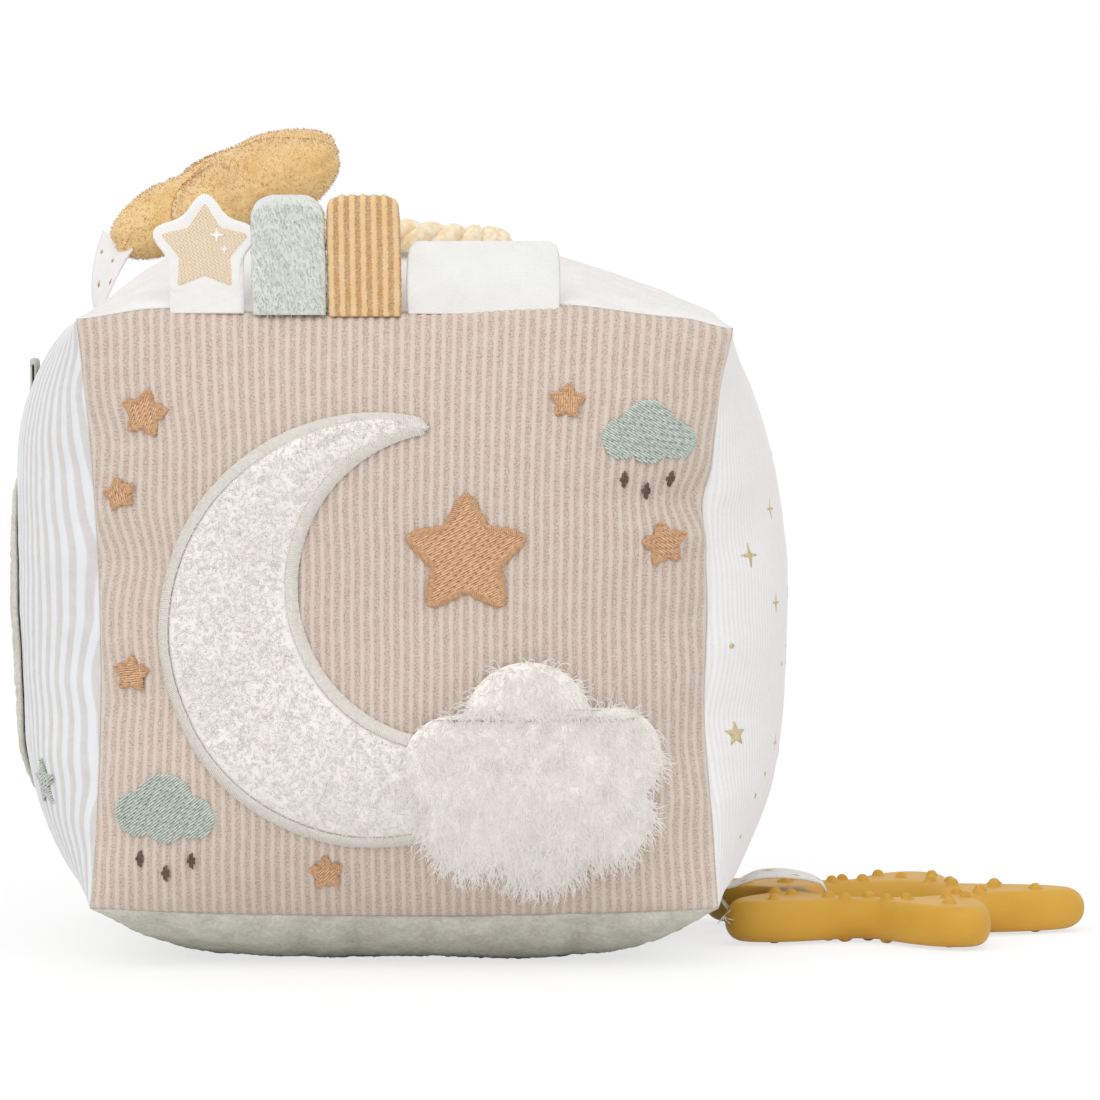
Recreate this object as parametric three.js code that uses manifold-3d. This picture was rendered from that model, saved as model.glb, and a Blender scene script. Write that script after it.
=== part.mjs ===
// A soft activity cube for a baby: six crowned fabric panels sewn round a fibre filling, with loop tags in
// the top front seam, a stuffed star on a ribbon, a silicone teething ring on a ribbon, a twisted cord and a
// round mirror. Millimetres, +Z up. The origin is on the floor at the middle of the cube, and the front
// faces -Y.

import * as THREE from 'three';
import { mergeVertices } from 'three/addons/utils/BufferGeometryUtils.js';
import Module from 'manifold-3d';

const wasm = await Module();
wasm.setup();

// The seam frame of the cube, from corner to corner.
const seamWidthTop = 132;
const seamWidthBottom = 127;
const seamDepth = 130;
const seamHeight = 119;
const bottomSeamHeight = 12;
const seamDrawIn = 3.2;
const topSeamLift = 2.4;
const bottomSeamLift = 1.6;

// How far each panel crowns past its seams. The bottom is cut flat where it stands.
const frontCrown = 17;
const backCrown = 17;
const leftCrown = 21.2;
const rightCrown = 17.6;
const topCrown = 18.1;
const flatCut = 0.5;
const bottomCrown = bottomSeamHeight - bottomSeamLift + flatCut;
// How full a crown is towards its left, right, lower and upper edge: a higher power is fuller.
const evenFullness = [4, 4, 4, 4];
const rightFullness = [4, 4, 3.4, 2.4];
const topFullness = [2.6, 1.6, 2.2, 2.2];
const bottomFullness = [6, 6, 6, 6];

// Fabric, gaps and the film.
const panelThickness = 2.4;
const clearance = 0.3;
const filmThickness = 0.5;
const panelCells = 12;
const filmMarginCells = 2;
const edgeSpacingShare = 0.6;
const weldDistance = 0.0005;

// The moon patch and the long-pile cloud on the front.
const fleeceThickness = 1.6;
const moonRadius = 42;
const moonSide = -4;
const moonDrop = 2.5;
const moonCutRadius = 31.5;
const moonCutSide = 11;
const moonCutLift = 6.5;
const pileThickness = 4;
const cloudSide = 27;
const cloudDrop = 29.5;
const cloudWidth = 50;
const flapLift = 10;
// Each lobe of the cloud: side, height and radius, as shares of its width.
const cloudLobeShares = [
  [-0.02, 0.17, 0.25],
  [-0.31, 0.01, 0.2],
  [0.3, 0.04, 0.2],
  [-0.24, -0.22, 0.2],
  [0.04, -0.26, 0.22],
  [0.28, -0.2, 0.18],
];

// The mirror on the left side, with its plush rim.
const mirrorRadius = 26;
const rimRadius = 33.7;
const rimThickness = 3;
const mirrorThickness = 1;
const mirrorDrop = 6.5;
const mirrorSegments = 16;

// The small loop on the left side.
const sideLoopWidth = 10;
const sideLoopLength = 6;
const sideLoopThickness = 1.6;
const sideLoopSideShare = 0.34;
const sideLoopRiseShare = 0.76;
const sideLoopLean = 22;

// The tags in the top front seam: centre along the seam, width, height over the seam and thickness.
const starTag = { side: -38.5, width: 19.4, height: 21.4, thickness: 2.6, footWidth: 15 };
const plushLoop = { side: -21.45, width: 13.7, height: 22.4, thickness: 4.4 };
const corduroyLoop = { side: -6.6, width: 15, height: 22, thickness: 3.8 };
const label = { side: 17.4, width: 30.4, height: 12, thickness: 1.4 };
const loopWall = 1.8;
const labelWall = 0.5;
const loopCorner = 4;
const labelCorner = 2;
const seatShare = 1.34;
const starTagReachShare = 1.17;
const starTagWaistShare = 0.7;
const starTagTipShare = 0.42;
const starTagNotchShare = 0.5;
const starTagAngle = 90;
const tagSegments = 6;
const cornerSegments = 4;

// The twisted cord, sewn down as a ring on the top panel.
const cordDiameter = 6;
const cordRingRadius = 20;
const cordRingForward = 20;
const cordRingSteps = 36;
const cordSides = 8;

// The stuffed star and its ribbon.
const plushStarRadius = 28.5;
const plushStarWaist = 19;
const plushStarThickness = 14;
const plushFabric = 1.2;
const plushStarSide = -37;
const plushStarBack = 22;
const plushStarLift = 26.5;
const plushStarRise = 24.6;
const plushStarTurn = 7;
const plushStarSectors = 30;
const plushStarRings = 6;
const plushStarFullness = 0.6;
const starPoints = 5;
const starRibbonWidth = 13;
const ribbonThickness = 0.8;
const starRibbonTwist = 30;
const starRibbonSlack = 2.6;
const ribbonSteps = 8;

// The silicone teething ring and its ribbon.
const teetherWaist = 24.7;
const teetherHole = 14.5;
const teetherSteps = 60;
const teetherSides = 14;
const teetherThickness = 8.6;
const teetherRounding = 4.2;
const teetherArmPower = 1.5;
const teetherReach = 42;
const teetherGap = 59.5;
const teetherBack = 9.8;
const teetherTurn = 4.4;
const nubRadius = 1.45;
const nubHeight = 1.4;
const nubCount = 32;
const nubSegments = [6, 4];
const nubRowShares = [0.36, 0.66];
const teetherRibbonWidth = 10;
const teetherRibbonThickness = 0.45;
const ribbonLoopSteps = 32;
// The ribbon loop's points: side as a share of the way from the seam to the ring's hole, and height as a
// share of the ring's middle. The first point is in the seam.
const ribbonLoopShares = [
  [0, 2],
  [0.16, 0.9],
  [0.34, 0.12],
  [0.55, 0.01],
  [0.78, 0.02],
  [0.91, 0.22],
  [1, 1],
  [0.97, 1.9],
  [0.78, 2.65],
  [0.42, 2.75],
  [0.14, 2.45],
];

// The rattle ball in the filling.
const rattleRadius = 15;
const rattleWall = 1.2;
const rattleLift = 2.5;
const rattleSegments = [20, 14];
const beadRadius = 3;
const beadSpacing = 6.5;
const beadSegments = [8, 6];
const beadNames = ['rattle_bead_1', 'rattle_bead_2', 'rattle_bead_3'];

// Colours and finishes.
function finish(color, roughness = 0.9, metalness = 0) {
  return new THREE.MeshStandardMaterial({ color, roughness, metalness });
}
const beigeCorduroy = finish(0xd3c2b4);
const whiteCotton = finish(0xe8e7e4);
const stripedCotton = finish(0xddd9d2);
const sagePlush = finish(0xb9bcae);
const creamFleece = finish(0xe9e5df);
const creamPile = finish(0xefece7);
const caramelCorduroy = finish(0xd8b285);
const peachWeave = finish(0xebd8bf);
const whiteWeave = finish(0xf2f1ee, 0.8);
const yellowCotton = finish(0xeadeca);
const ochreVelour = finish(0xdcc08f);
const ochreSilicone = finish(0xcfa34d, 0.5);
const mirrorFilm = finish(0xd8dadb, 0.05, 1);
const fibre = finish(0xf4f4f2, 1);
const clearFilm = finish(0xe6e8ea, 0.3);
const whitePlastic = finish(0xf0f0ec, 0.4);

// Values worked out from the sizes above.
const centre = new THREE.Vector3(0, 0, bottomSeamHeight + seamHeight / 2);
const moonHeight = centre.z - moonDrop;
const moonCutHeight = centre.z + moonCutLift;
const cloudHeight = centre.z - cloudDrop;
const flapHeight = cloudHeight + flapLift;
const mirrorHeight = centre.z - mirrorDrop;
const rattleHeight = centre.z + rattleLift;
const plushStarHeight = bottomSeamHeight + seamHeight + plushStarLift;
const axisX = new THREE.Vector3(1, 0, 0);
const axisY = new THREE.Vector3(0, 1, 0);
const axisZ = new THREE.Vector3(0, 0, 1);
const reach = seamDepth + seamWidthTop;
const teetherSide = teetherReach + teetherGap;

const group = new THREE.Group();

/** A closed geometry as a solid that can be joined and cut. */
function solidOf(geometry) {
  const bare = geometry.clone();
  bare.deleteAttribute('normal');
  bare.deleteAttribute('uv');
  const welded = mergeVertices(bare, weldDistance);
  return new wasm.Manifold(new wasm.Mesh({
    numProp: 3,
    vertProperties: new Float32Array(welded.attributes.position.array),
    triVerts: new Uint32Array(welded.index.array),
  }));
}

/** The geometry of a solid. */
function geometryOf(solid) {
  const mesh = solid.getMesh();
  const geometry = new THREE.BufferGeometry();
  geometry.setAttribute('position', new THREE.BufferAttribute(mesh.vertProperties, 3));
  geometry.setIndex(new THREE.BufferAttribute(mesh.triVerts, 1));
  geometry.computeVertexNormals();
  return geometry;
}

/** Adds a named piece to the model, or to a group of it. */
function addPiece(name, geometry, material, parent = group) {
  const mesh = new THREE.Mesh(geometry, material);
  mesh.name = name;
  parent.add(mesh);
  return mesh;
}

/** A geometry from a list of points and a list of triangles. */
function geometryFrom(points, triangles) {
  const geometry = new THREE.BufferGeometry();
  geometry.setAttribute('position', new THREE.Float32BufferAttribute(points.flatMap((p) => p.toArray()), 3));
  geometry.setIndex(triangles);
  geometry.computeVertexNormals();
  return geometry;
}

/** A closed solid through a row of sections, each a ring of points that turns left about the way ahead. */
function sweep(sections, closed) {
  const sides = sections[0].length;
  const spans = closed ? sections.length : sections.length - 1;
  const triangles = [];
  for (let i = 0; i < spans; i += 1) {
    const row = i * sides;
    const nextRow = ((i + 1) % sections.length) * sides;
    for (let k = 0; k < sides; k += 1) {
      const beside = (k + 1) % sides;
      triangles.push(row + k, row + beside, nextRow + beside, row + k, nextRow + beside, nextRow + k);
    }
  }
  if (!closed) {
    const last = (sections.length - 1) * sides;
    for (let k = 1; k < sides - 1; k += 1) {
      triangles.push(0, k + 1, k, last, last + k, last + k + 1);
    }
  }
  return geometryFrom(sections.flat(), triangles);
}

/** A point of the seam frame, from a place on the surface of the cube that runs from -1 to 1 each way. */
function framePoint(cube) {
  const halfWidth = THREE.MathUtils.lerp(seamWidthBottom, seamWidthTop, (cube.z + 1) / 2) / 2;
  const pinch = seamDrawIn * (1 - cube.z ** 2);
  const lift = (cube.z > 0 ? topSeamLift : bottomSeamLift) * (1 - cube.x ** 2);
  return new THREE.Vector3(
    cube.x * (halfWidth - pinch),
    cube.y * (seamDepth / 2 - pinch),
    centre.z + cube.z * (seamHeight / 2 + lift),
  );
}

/** One side of the cube: its directions out, along and up, its crown and how full that is to each edge. */
function cubeFace(out, along, crown, powers) {
  const up = new THREE.Vector3().crossVectors(out, along);
  return { out, along, up, crown, powers };
}

const frontFace = cubeFace(axisY.clone().negate(), axisX, frontCrown, evenFullness);
const backFace = cubeFace(axisY, axisX.clone().negate(), backCrown, evenFullness);
const rightFace = cubeFace(axisX, axisY, rightCrown, rightFullness);
const leftFace = cubeFace(axisX.clone().negate(), axisY.clone().negate(), leftCrown, evenFullness);
const topFace = cubeFace(axisZ, axisX, topCrown, topFullness);
const bottomFace = cubeFace(axisZ.clone().negate(), axisX, bottomCrown, bottomFullness);
const faces = [frontFace, backFace, rightFace, leftFace, topFace, bottomFace];

/** A point of a panel's outer surface, u and v running from -1 to 1, moved out by an offset. */
function skinPoint(face, u, v, offset = 0) {
  const [left, right, low, high] = face.powers;
  const fullU = 1 - Math.abs(u) ** (u < 0 ? left : right);
  const fullV = 1 - Math.abs(v) ** (v < 0 ? low : high);
  const cube = face.out.clone().addScaledVector(face.along, u).addScaledVector(face.up, v);
  const point = framePoint(cube).addScaledVector(face.out, face.crown * fullU * fullV);
  point.z = Math.max(point.z, 0);
  return point.sub(centre).multiplyScalar(1 + offset / (seamDepth / 2)).add(centre);
}

/** The place of one grid line between -limit and limit, closer together towards the edges. */
function gridPlace(index, cells, limit) {
  const even = 2 * index / cells - 1;
  return limit * THREE.MathUtils.lerp(even, Math.sin(even * Math.PI / 2), edgeSpacingShare);
}

/** A closed sheet along a panel, between two offsets from its outer surface and short of its edges. */
function panelSheet(face, outerOffset, innerOffset, marginCells = 0) {
  const points = [];
  const triangles = [];
  const limit = 1 - clearance / seamDepth;
  const cells = panelCells - 2 * marginCells;
  const row = cells + 1;
  for (const offset of [outerOffset, innerOffset]) {
    for (let j = 0; j <= cells; j += 1) {
      for (let i = 0; i <= cells; i += 1) {
        const u = gridPlace(i + marginCells, panelCells, limit);
        const v = gridPlace(j + marginCells, panelCells, limit);
        points.push(skinPoint(face, u, v, offset));
      }
    }
  }
  const inner = row * row;
  const quad = (a, b, c, d) => triangles.push(a, b, c, a, c, d);
  for (let j = 0; j < cells; j += 1) {
    for (let i = 0; i < cells; i += 1) {
      const corner = j * row + i;
      quad(corner, corner + 1, corner + row + 1, corner + row);
      quad(inner + corner, inner + corner + row, inner + corner + row + 1, inner + corner + 1);
    }
  }
  for (let k = 0; k < cells; k += 1) {
    const low = k;
    const high = cells * row + k;
    const left = k * row;
    const right = k * row + cells;
    quad(low, inner + low, inner + low + 1, low + 1);
    quad(high, high + 1, inner + high + 1, inner + high);
    quad(left, left + row, inner + left + row, inner + left);
    quad(right, inner + right, inner + right + row, right + row);
  }
  return geometryFrom(points, triangles);
}

/** The six panels' surface, moved in by an offset, as one closed solid. */
function filledCube(offset) {
  const points = [];
  const triangles = [];
  const row = panelCells + 1;
  for (const face of faces) {
    const first = points.length;
    for (let j = 0; j <= panelCells; j += 1) {
      for (let i = 0; i <= panelCells; i += 1) {
        points.push(skinPoint(face, gridPlace(i, panelCells, 1), gridPlace(j, panelCells, 1), offset));
      }
    }
    for (let j = 0; j < panelCells; j += 1) {
      for (let i = 0; i < panelCells; i += 1) {
        const corner = first + j * row + i;
        triangles.push(corner, corner + 1, corner + row + 1, corner, corner + row + 1, corner + row);
      }
    }
  }
  return solidOf(geometryFrom(points, triangles));
}

/** A prism through the front panel, from an outline given as side and height. */
function frontPrism(shape) {
  const prism = new THREE.ExtrudeGeometry(shape, { depth: reach, bevelEnabled: false });
  return solidOf(prism.rotateX(Math.PI / 2));
}

/** A round outline. */
function disc(side, height, radius) {
  return new THREE.Shape().absarc(side, height, radius, 0, 2 * Math.PI);
}

/** A block that fills all space above or below a height. */
function halfSpace(height, above) {
  const block = new THREE.BoxGeometry(2 * reach, 2 * reach, reach);
  return solidOf(block.translate(0, 0, height + (above ? reach : -reach) / 2));
}

/** An outline with its corners cut back by a length and rounded. */
function roundedOutline(corners) {
  const shape = new THREE.Shape();
  corners.forEach(({ point, cut }, index) => {
    const before = corners[(index + corners.length - 1) % corners.length].point;
    const after = corners[(index + 1) % corners.length].point;
    const start = point.clone().add(before.clone().sub(point).setLength(cut));
    const end = point.clone().add(after.clone().sub(point).setLength(cut));
    if (index === 0) {
      shape.moveTo(start.x, start.y);
    } else {
      shape.lineTo(start.x, start.y);
    }
    shape.quadraticCurveTo(point.x, point.y, end.x, end.y);
  });
  shape.closePath();
  return shape;
}

/** A rounded star with five points, its first point at an angle in degrees. */
function starOutline(outer, inner, tipCut, notchCut, firstAngle) {
  const corners = [];
  for (let k = 0; k < 2 * starPoints; k += 1) {
    const angle = THREE.MathUtils.degToRad(firstAngle) + Math.PI * k / starPoints;
    const radius = k % 2 ? inner : outer;
    const point = new THREE.Vector2(Math.cos(angle), Math.sin(angle)).multiplyScalar(radius);
    corners.push({ point, cut: k % 2 ? notchCut : tipCut });
  }
  return roundedOutline(corners);
}

/** Adds the six panels. */
function addPanels() {
  const skins = [
    ['front_panel', frontFace, beigeCorduroy],
    ['back_panel', backFace, beigeCorduroy],
    ['right_panel', rightFace, whiteCotton],
    ['left_panel', leftFace, stripedCotton],
    ['top_panel', topFace, whiteCotton],
    ['bottom_panel', bottomFace, sagePlush],
  ];
  for (const [name, face, material] of skins) {
    addPiece(name, panelSheet(face, 0, -panelThickness), material);
  }
}

/** Adds the crackling film, the filling in two wads and the rattle ball with its beads. */
function addInside() {
  const filmTop = -panelThickness - clearance;
  const filmBottom = filmTop - filmThickness;
  addPiece('crinkle_film', panelSheet(rightFace, filmTop, filmBottom, filmMarginCells), clearFilm);
  const ball = (radius) => new THREE.SphereGeometry(radius, ...rattleSegments).translate(0, 0, rattleHeight);
  const filling = filledCube(filmBottom - clearance).subtract(solidOf(ball(rattleRadius + clearance)));
  const upper = filling.intersect(halfSpace(rattleHeight + clearance / 2, true));
  const lower = filling.intersect(halfSpace(rattleHeight - clearance / 2, false));
  addPiece('filling_upper', geometryOf(upper), fibre);
  addPiece('filling_lower', geometryOf(lower), fibre);

  const shell = solidOf(ball(rattleRadius)).subtract(solidOf(ball(rattleRadius - rattleWall)));
  const upperShell = shell.intersect(halfSpace(rattleHeight + clearance / 2, true));
  const lowerShell = shell.intersect(halfSpace(rattleHeight - clearance / 2, false));
  addPiece('rattle_shell_upper', geometryOf(upperShell), whitePlastic);
  addPiece('rattle_shell_lower', geometryOf(lowerShell), whitePlastic);

  const beadReach = rattleRadius - rattleWall - beadRadius - 2 * clearance;
  beadNames.forEach((name, index) => {
    const back = (index - 1) * beadSpacing;
    const drop = Math.sqrt(beadReach ** 2 - back ** 2);
    const bead = addPiece(name, new THREE.SphereGeometry(beadRadius, ...beadSegments), whitePlastic);
    bead.position.set(0, back, rattleHeight - drop);
  });
}

/** Adds the moon patch and the cloud, of which the lower part hangs loose. */
function addFrontDesign() {
  const fleece = solidOf(panelSheet(frontFace, clearance + fleeceThickness, clearance));
  const moon = frontPrism(disc(moonSide, moonHeight, moonRadius))
    .subtract(frontPrism(disc(moonCutSide, moonCutHeight, moonCutRadius)));
  addPiece('moon_applique', geometryOf(fleece.intersect(moon)), creamFleece);

  const pileBase = 2 * clearance + fleeceThickness;
  const pile = solidOf(panelSheet(frontFace, pileBase + pileThickness, pileBase));
  const lobes = cloudLobeShares.map(([side, height, radius]) => frontPrism(disc(
    cloudSide + side * cloudWidth,
    cloudHeight + height * cloudWidth,
    radius * cloudWidth,
  )));
  const cloud = pile.intersect(lobes.reduce((whole, lobe) => whole.add(lobe)));
  const sewn = cloud.intersect(halfSpace(flapHeight + clearance / 2, true));
  const loose = cloud.intersect(halfSpace(flapHeight - clearance / 2, false));
  addPiece('cloud_top', geometryOf(sewn), creamPile);
  addPiece('cloud_flap', geometryOf(loose), creamPile);
}

/** Adds the mirror film and its plush rim. */
function addMirror() {
  const through = new THREE.Matrix4().makeBasis(leftFace.along, leftFace.up, leftFace.out);
  const prism = (shape) => {
    const depth = { depth: reach, bevelEnabled: false, curveSegments: mirrorSegments };
    return solidOf(new THREE.ExtrudeGeometry(shape, depth).applyMatrix4(through));
  };
  const rim = solidOf(panelSheet(leftFace, clearance + rimThickness, clearance))
    .intersect(prism(disc(0, mirrorHeight, rimRadius)))
    .subtract(prism(disc(0, mirrorHeight, mirrorRadius + clearance)));
  addPiece('mirror_rim', geometryOf(rim), sagePlush);
  const film = solidOf(panelSheet(leftFace, clearance + mirrorThickness, clearance))
    .intersect(prism(disc(0, mirrorHeight, mirrorRadius)));
  addPiece('mirror_film', geometryOf(film), mirrorFilm);
}

/** A tag's side view: a strip with a rolled foot and top, slit like a folded loop if it has a wall. */
function stripSection(thickness, height, wall) {
  const radius = thickness / 2;
  const outline = (shape, size) => shape
    .moveTo(-size, 0)
    .absarc(0, 0, size, Math.PI, 2 * Math.PI)
    .lineTo(size, height - radius)
    .absarc(0, height - radius, size, 0, Math.PI)
    .closePath();
  const section = outline(new THREE.Shape(), radius);
  if (wall) {
    section.holes.push(outline(new THREE.Path(), radius - wall));
  }
  return section;
}

/** A folded loop tag, its foot rolled round the origin so that it can lean either way. */
function loopTag({ width, height, thickness }, wall, corner) {
  const toSide = new THREE.Matrix4().makeBasis(axisY, axisZ, axisX);
  const section = stripSection(thickness, height, wall);
  const stripDepth = { depth: width, bevelEnabled: false, curveSegments: tagSegments };
  const strip = new THREE.ExtrudeGeometry(section, stripDepth)
    .applyMatrix4(toSide)
    .translate(-width / 2, 0, 0);
  const foot = new THREE.Vector2(width / 2, -thickness);
  const top = new THREE.Vector2(width / 2, height);
  const face = roundedOutline([
    { point: new THREE.Vector2(-foot.x, foot.y), cut: clearance },
    { point: foot, cut: clearance },
    { point: top, cut: corner },
    { point: new THREE.Vector2(-top.x, top.y), cut: corner },
  ]);
  const maskDepth = { depth: 2 * thickness, bevelEnabled: false, curveSegments: cornerSegments };
  const mask = new THREE.ExtrudeGeometry(face, maskDepth)
    .rotateX(Math.PI / 2)
    .translate(0, thickness, 0);
  return geometryOf(solidOf(strip).intersect(solidOf(mask)));
}

/** The flat star tag with the foot that is caught in the seam. */
function starTagGeometry() {
  const { width, height, thickness, footWidth } = starTag;
  const starSpread = width / (2 * Math.cos(Math.PI / (2 * starPoints)));
  const tipCut = starSpread * starTagTipShare;
  const outer = starSpread * starTagReachShare;
  const inner = starSpread * starTagWaistShare;
  const star = starOutline(outer, inner, tipCut, tipCut * starTagNotchShare, starTagAngle);
  const depth = { depth: thickness, bevelEnabled: false, curveSegments: cornerSegments };
  const starSolid = new THREE.ExtrudeGeometry(star, depth)
    .rotateX(Math.PI / 2)
    .translate(0, thickness / 2, height - starSpread);
  const foot = new THREE.BoxGeometry(footWidth, thickness, height - starSpread);
  foot.translate(0, 0, (height - starSpread) / 2);
  const roll = new THREE.CylinderGeometry(thickness / 2, thickness / 2, footWidth, 2 * tagSegments);
  roll.rotateZ(Math.PI / 2);
  return geometryOf(solidOf(starSolid).add(solidOf(foot)).add(solidOf(roll)));
}

/** Stands a tag on the top front seam, its rolled foot clear of both panels. */
function placeOnSeam(piece, { side, thickness }) {
  const seam = framePoint(new THREE.Vector3(2 * side / seamWidthTop, -1, 1));
  piece.position.set(side, seam.y, seam.z + (thickness / 2 + clearance) * seatShare);
}

/** Adds the four tags of the top front seam. */
function addTags() {
  placeOnSeam(addPiece('star_tag', starTagGeometry(), peachWeave), starTag);
  placeOnSeam(addPiece('plush_loop', loopTag(plushLoop, loopWall, loopCorner), sagePlush), plushLoop);
  const corduroy = loopTag(corduroyLoop, loopWall - clearance, loopCorner);
  placeOnSeam(addPiece('corduroy_loop', corduroy, caramelCorduroy), corduroyLoop);
  placeOnSeam(addPiece('folded_label', loopTag(label, labelWall, labelCorner), whiteWeave), label);
}

/** Adds the small loop on the left side, leaning up from the panel. */
function addSideLoop() {
  const shape = { width: sideLoopWidth, height: sideLoopLength, thickness: sideLoopThickness };
  const loop = addPiece('side_loop', loopTag(shape, labelWall, labelCorner), sagePlush);
  const root = skinPoint(leftFace, sideLoopSideShare, sideLoopRiseShare, sideLoopThickness / 2 + clearance);
  loop.position.copy(root);
  loop.rotation.set(0, -THREE.MathUtils.degToRad(sideLoopLean), Math.PI / 2, 'YXZ');
}

/** Adds the twisted cord, a ring that lies on the top panel. */
function addCord() {
  const radius = cordDiameter / 2;
  const sections = [];
  for (let i = 0; i < cordRingSteps; i += 1) {
    const turn = 2 * Math.PI * i / cordRingSteps;
    const outward = new THREE.Vector3(Math.cos(turn), Math.sin(turn), 0);
    const side = cordRingRadius * outward.x;
    const back = cordRingRadius * outward.y - cordRingForward;
    const middle = skinPoint(topFace, 2 * side / seamWidthTop, 2 * back / seamDepth);
    middle.addScaledVector(axisZ, radius + 2 * clearance);
    const section = [];
    for (let k = 0; k < cordSides; k += 1) {
      const angle = -2 * Math.PI * k / cordSides;
      section.push(middle.clone()
        .addScaledVector(outward, radius * Math.cos(angle))
        .addScaledVector(axisZ, radius * Math.sin(angle)));
    }
    sections.push(section);
  }
  addPiece('twisted_cord', sweep(sections, true), yellowCotton);
}

/** A closed solid between an upper and a lower surface given by ring share and angle. */
function pillow(upperAt, lowerAt) {
  const points = [upperAt(0, 0), lowerAt(0, 0)];
  const triangles = [];
  const sectors = plushStarSectors;
  for (const surface of [upperAt, lowerAt]) {
    for (let ring = 1; ring <= plushStarRings; ring += 1) {
      for (let k = 0; k < sectors; k += 1) {
        points.push(surface(Math.sin(ring / plushStarRings * Math.PI / 2), 2 * Math.PI * k / sectors));
      }
    }
  }
  const lower = 2 + plushStarRings * sectors;
  const rim = (plushStarRings - 1) * sectors;
  for (let k = 0; k < sectors; k += 1) {
    const next = (k + 1) % sectors;
    triangles.push(0, 2 + k, 2 + next, 1, lower + next, lower + k);
    for (let ring = 0; ring < plushStarRings - 1; ring += 1) {
      const a = 2 + ring * sectors + k;
      const b = 2 + ring * sectors + next;
      triangles.push(a, a + sectors, b + sectors, a, b + sectors, b);
      const c = lower + ring * sectors + k;
      const d = lower + ring * sectors + next;
      triangles.push(c, d + sectors, c + sectors, c, d, d + sectors);
    }
    const outer = 2 + rim;
    const under = lower + rim;
    triangles.push(outer + k, under + k, under + next, outer + k, under + next, outer + next);
  }
  return geometryFrom(points, triangles);
}

/** A point of a star-shaped cushion: narrower by an inset, and with a given half thickness at the middle. */
function starCushionPoint(share, angle, inset, half, edge) {
  const full = (1 + Math.cos(starPoints * angle)) / 2;
  const radius = THREE.MathUtils.lerp(plushStarWaist, plushStarRadius, full) - inset;
  const height = edge + (half - edge) * (1 - share ** 2) ** plushStarFullness;
  return new THREE.Vector3(Math.cos(angle) * radius * share, Math.sin(angle) * radius * share, height);
}

/** Adds the stuffed star, two velour faces round a filling. */
function addPlushStar() {
  const star = new THREE.Group();
  const half = plushStarThickness / 2;
  const edge = clearance / 2;
  const face = pillow(
    (share, angle) => starCushionPoint(share, angle, 0, half, edge),
    (share, angle) => starCushionPoint(share, angle, plushFabric, half - plushFabric, edge),
  );
  addPiece('plush_star_upper', face, ochreVelour, star);
  addPiece('plush_star_lower', face.clone().rotateX(Math.PI), ochreVelour, star);
  const inset = plushFabric + clearance;
  const wad = pillow(
    (share, angle) => starCushionPoint(share, angle, inset, half - inset, edge),
    (share, angle) => starCushionPoint(share, angle, inset, inset - half, -edge),
  );
  addPiece('plush_star_filling', wad, fibre, star);
  star.position.set(plushStarSide, plushStarBack, plushStarHeight);
  star.rotation.order = 'YXZ';
  star.rotation.y = -THREE.MathUtils.degToRad(plushStarRise);
  star.rotation.x = THREE.MathUtils.degToRad(plushStarTurn);
  star.rotation.z = Math.PI;
  group.add(star);
}

/** A flat band along a list of stations, each with its place, its width direction and its face direction. */
function bandGeometry(stations, width, thickness, closed = false) {
  const corners = [[-1, -1], [1, -1], [1, 1], [-1, 1]];
  return sweep(stations.map(({ place, across, facing }) => corners.map(([side, depth]) => place.clone()
    .addScaledVector(across, side * width / 2)
    .addScaledVector(facing, depth * thickness / 2))), closed);
}

/** Stations along a curve in the plane of X and Z, the band's width turned from Y by a twist at its end. */
function bandStations(curve, steps, back, twist, closed = false) {
  const stations = [];
  const last = closed ? steps - 1 : steps;
  for (let i = 0; i <= last; i += 1) {
    const share = i / steps;
    const spot = curve.getPointAt(share);
    const tangent = curve.getTangentAt(share);
    const forward = new THREE.Vector3(tangent.x, 0, tangent.y);
    const across = axisY.clone().applyAxisAngle(forward, twist * share);
    const facing = new THREE.Vector3().crossVectors(forward, across);
    stations.push({ place: new THREE.Vector3(spot.x, back, spot.y), across, facing });
  }
  return stations;
}

/** Adds the ribbon that holds the stuffed star, from the top left seam to the star's nearest tip. */
function addStarRibbon() {
  const seam = framePoint(new THREE.Vector3(-1, 2 * plushStarBack / seamDepth, 1));
  const rise = THREE.MathUtils.degToRad(plushStarRise);
  const tipReach = plushStarRadius + 2 * clearance;
  const tipSide = plushStarSide - tipReach * Math.cos(rise);
  const tipHeight = plushStarHeight - tipReach * Math.sin(rise);
  const root = new THREE.Vector2(seam.x - clearance, seam.z + 2 * clearance + ribbonThickness / 2);
  const curve = new THREE.QuadraticBezierCurve(
    root,
    new THREE.Vector2(seam.x - 2 * starRibbonSlack, (seam.z + tipHeight) / 2 + starRibbonSlack),
    new THREE.Vector2(tipSide, tipHeight),
  );
  const stations = bandStations(curve, ribbonSteps, plushStarBack, THREE.MathUtils.degToRad(starRibbonTwist));
  addPiece('plush_star_ribbon', bandGeometry(stations, starRibbonWidth, ribbonThickness), whiteWeave);
}

/** The distance from the teether's centre to its outline, in a direction given from its first arm. */
function teetherOutline(angle) {
  const full = (1 + Math.cos(starPoints * angle)) / 2;
  return THREE.MathUtils.lerp(teetherWaist, teetherReach, full ** teetherArmPower);
}

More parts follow.
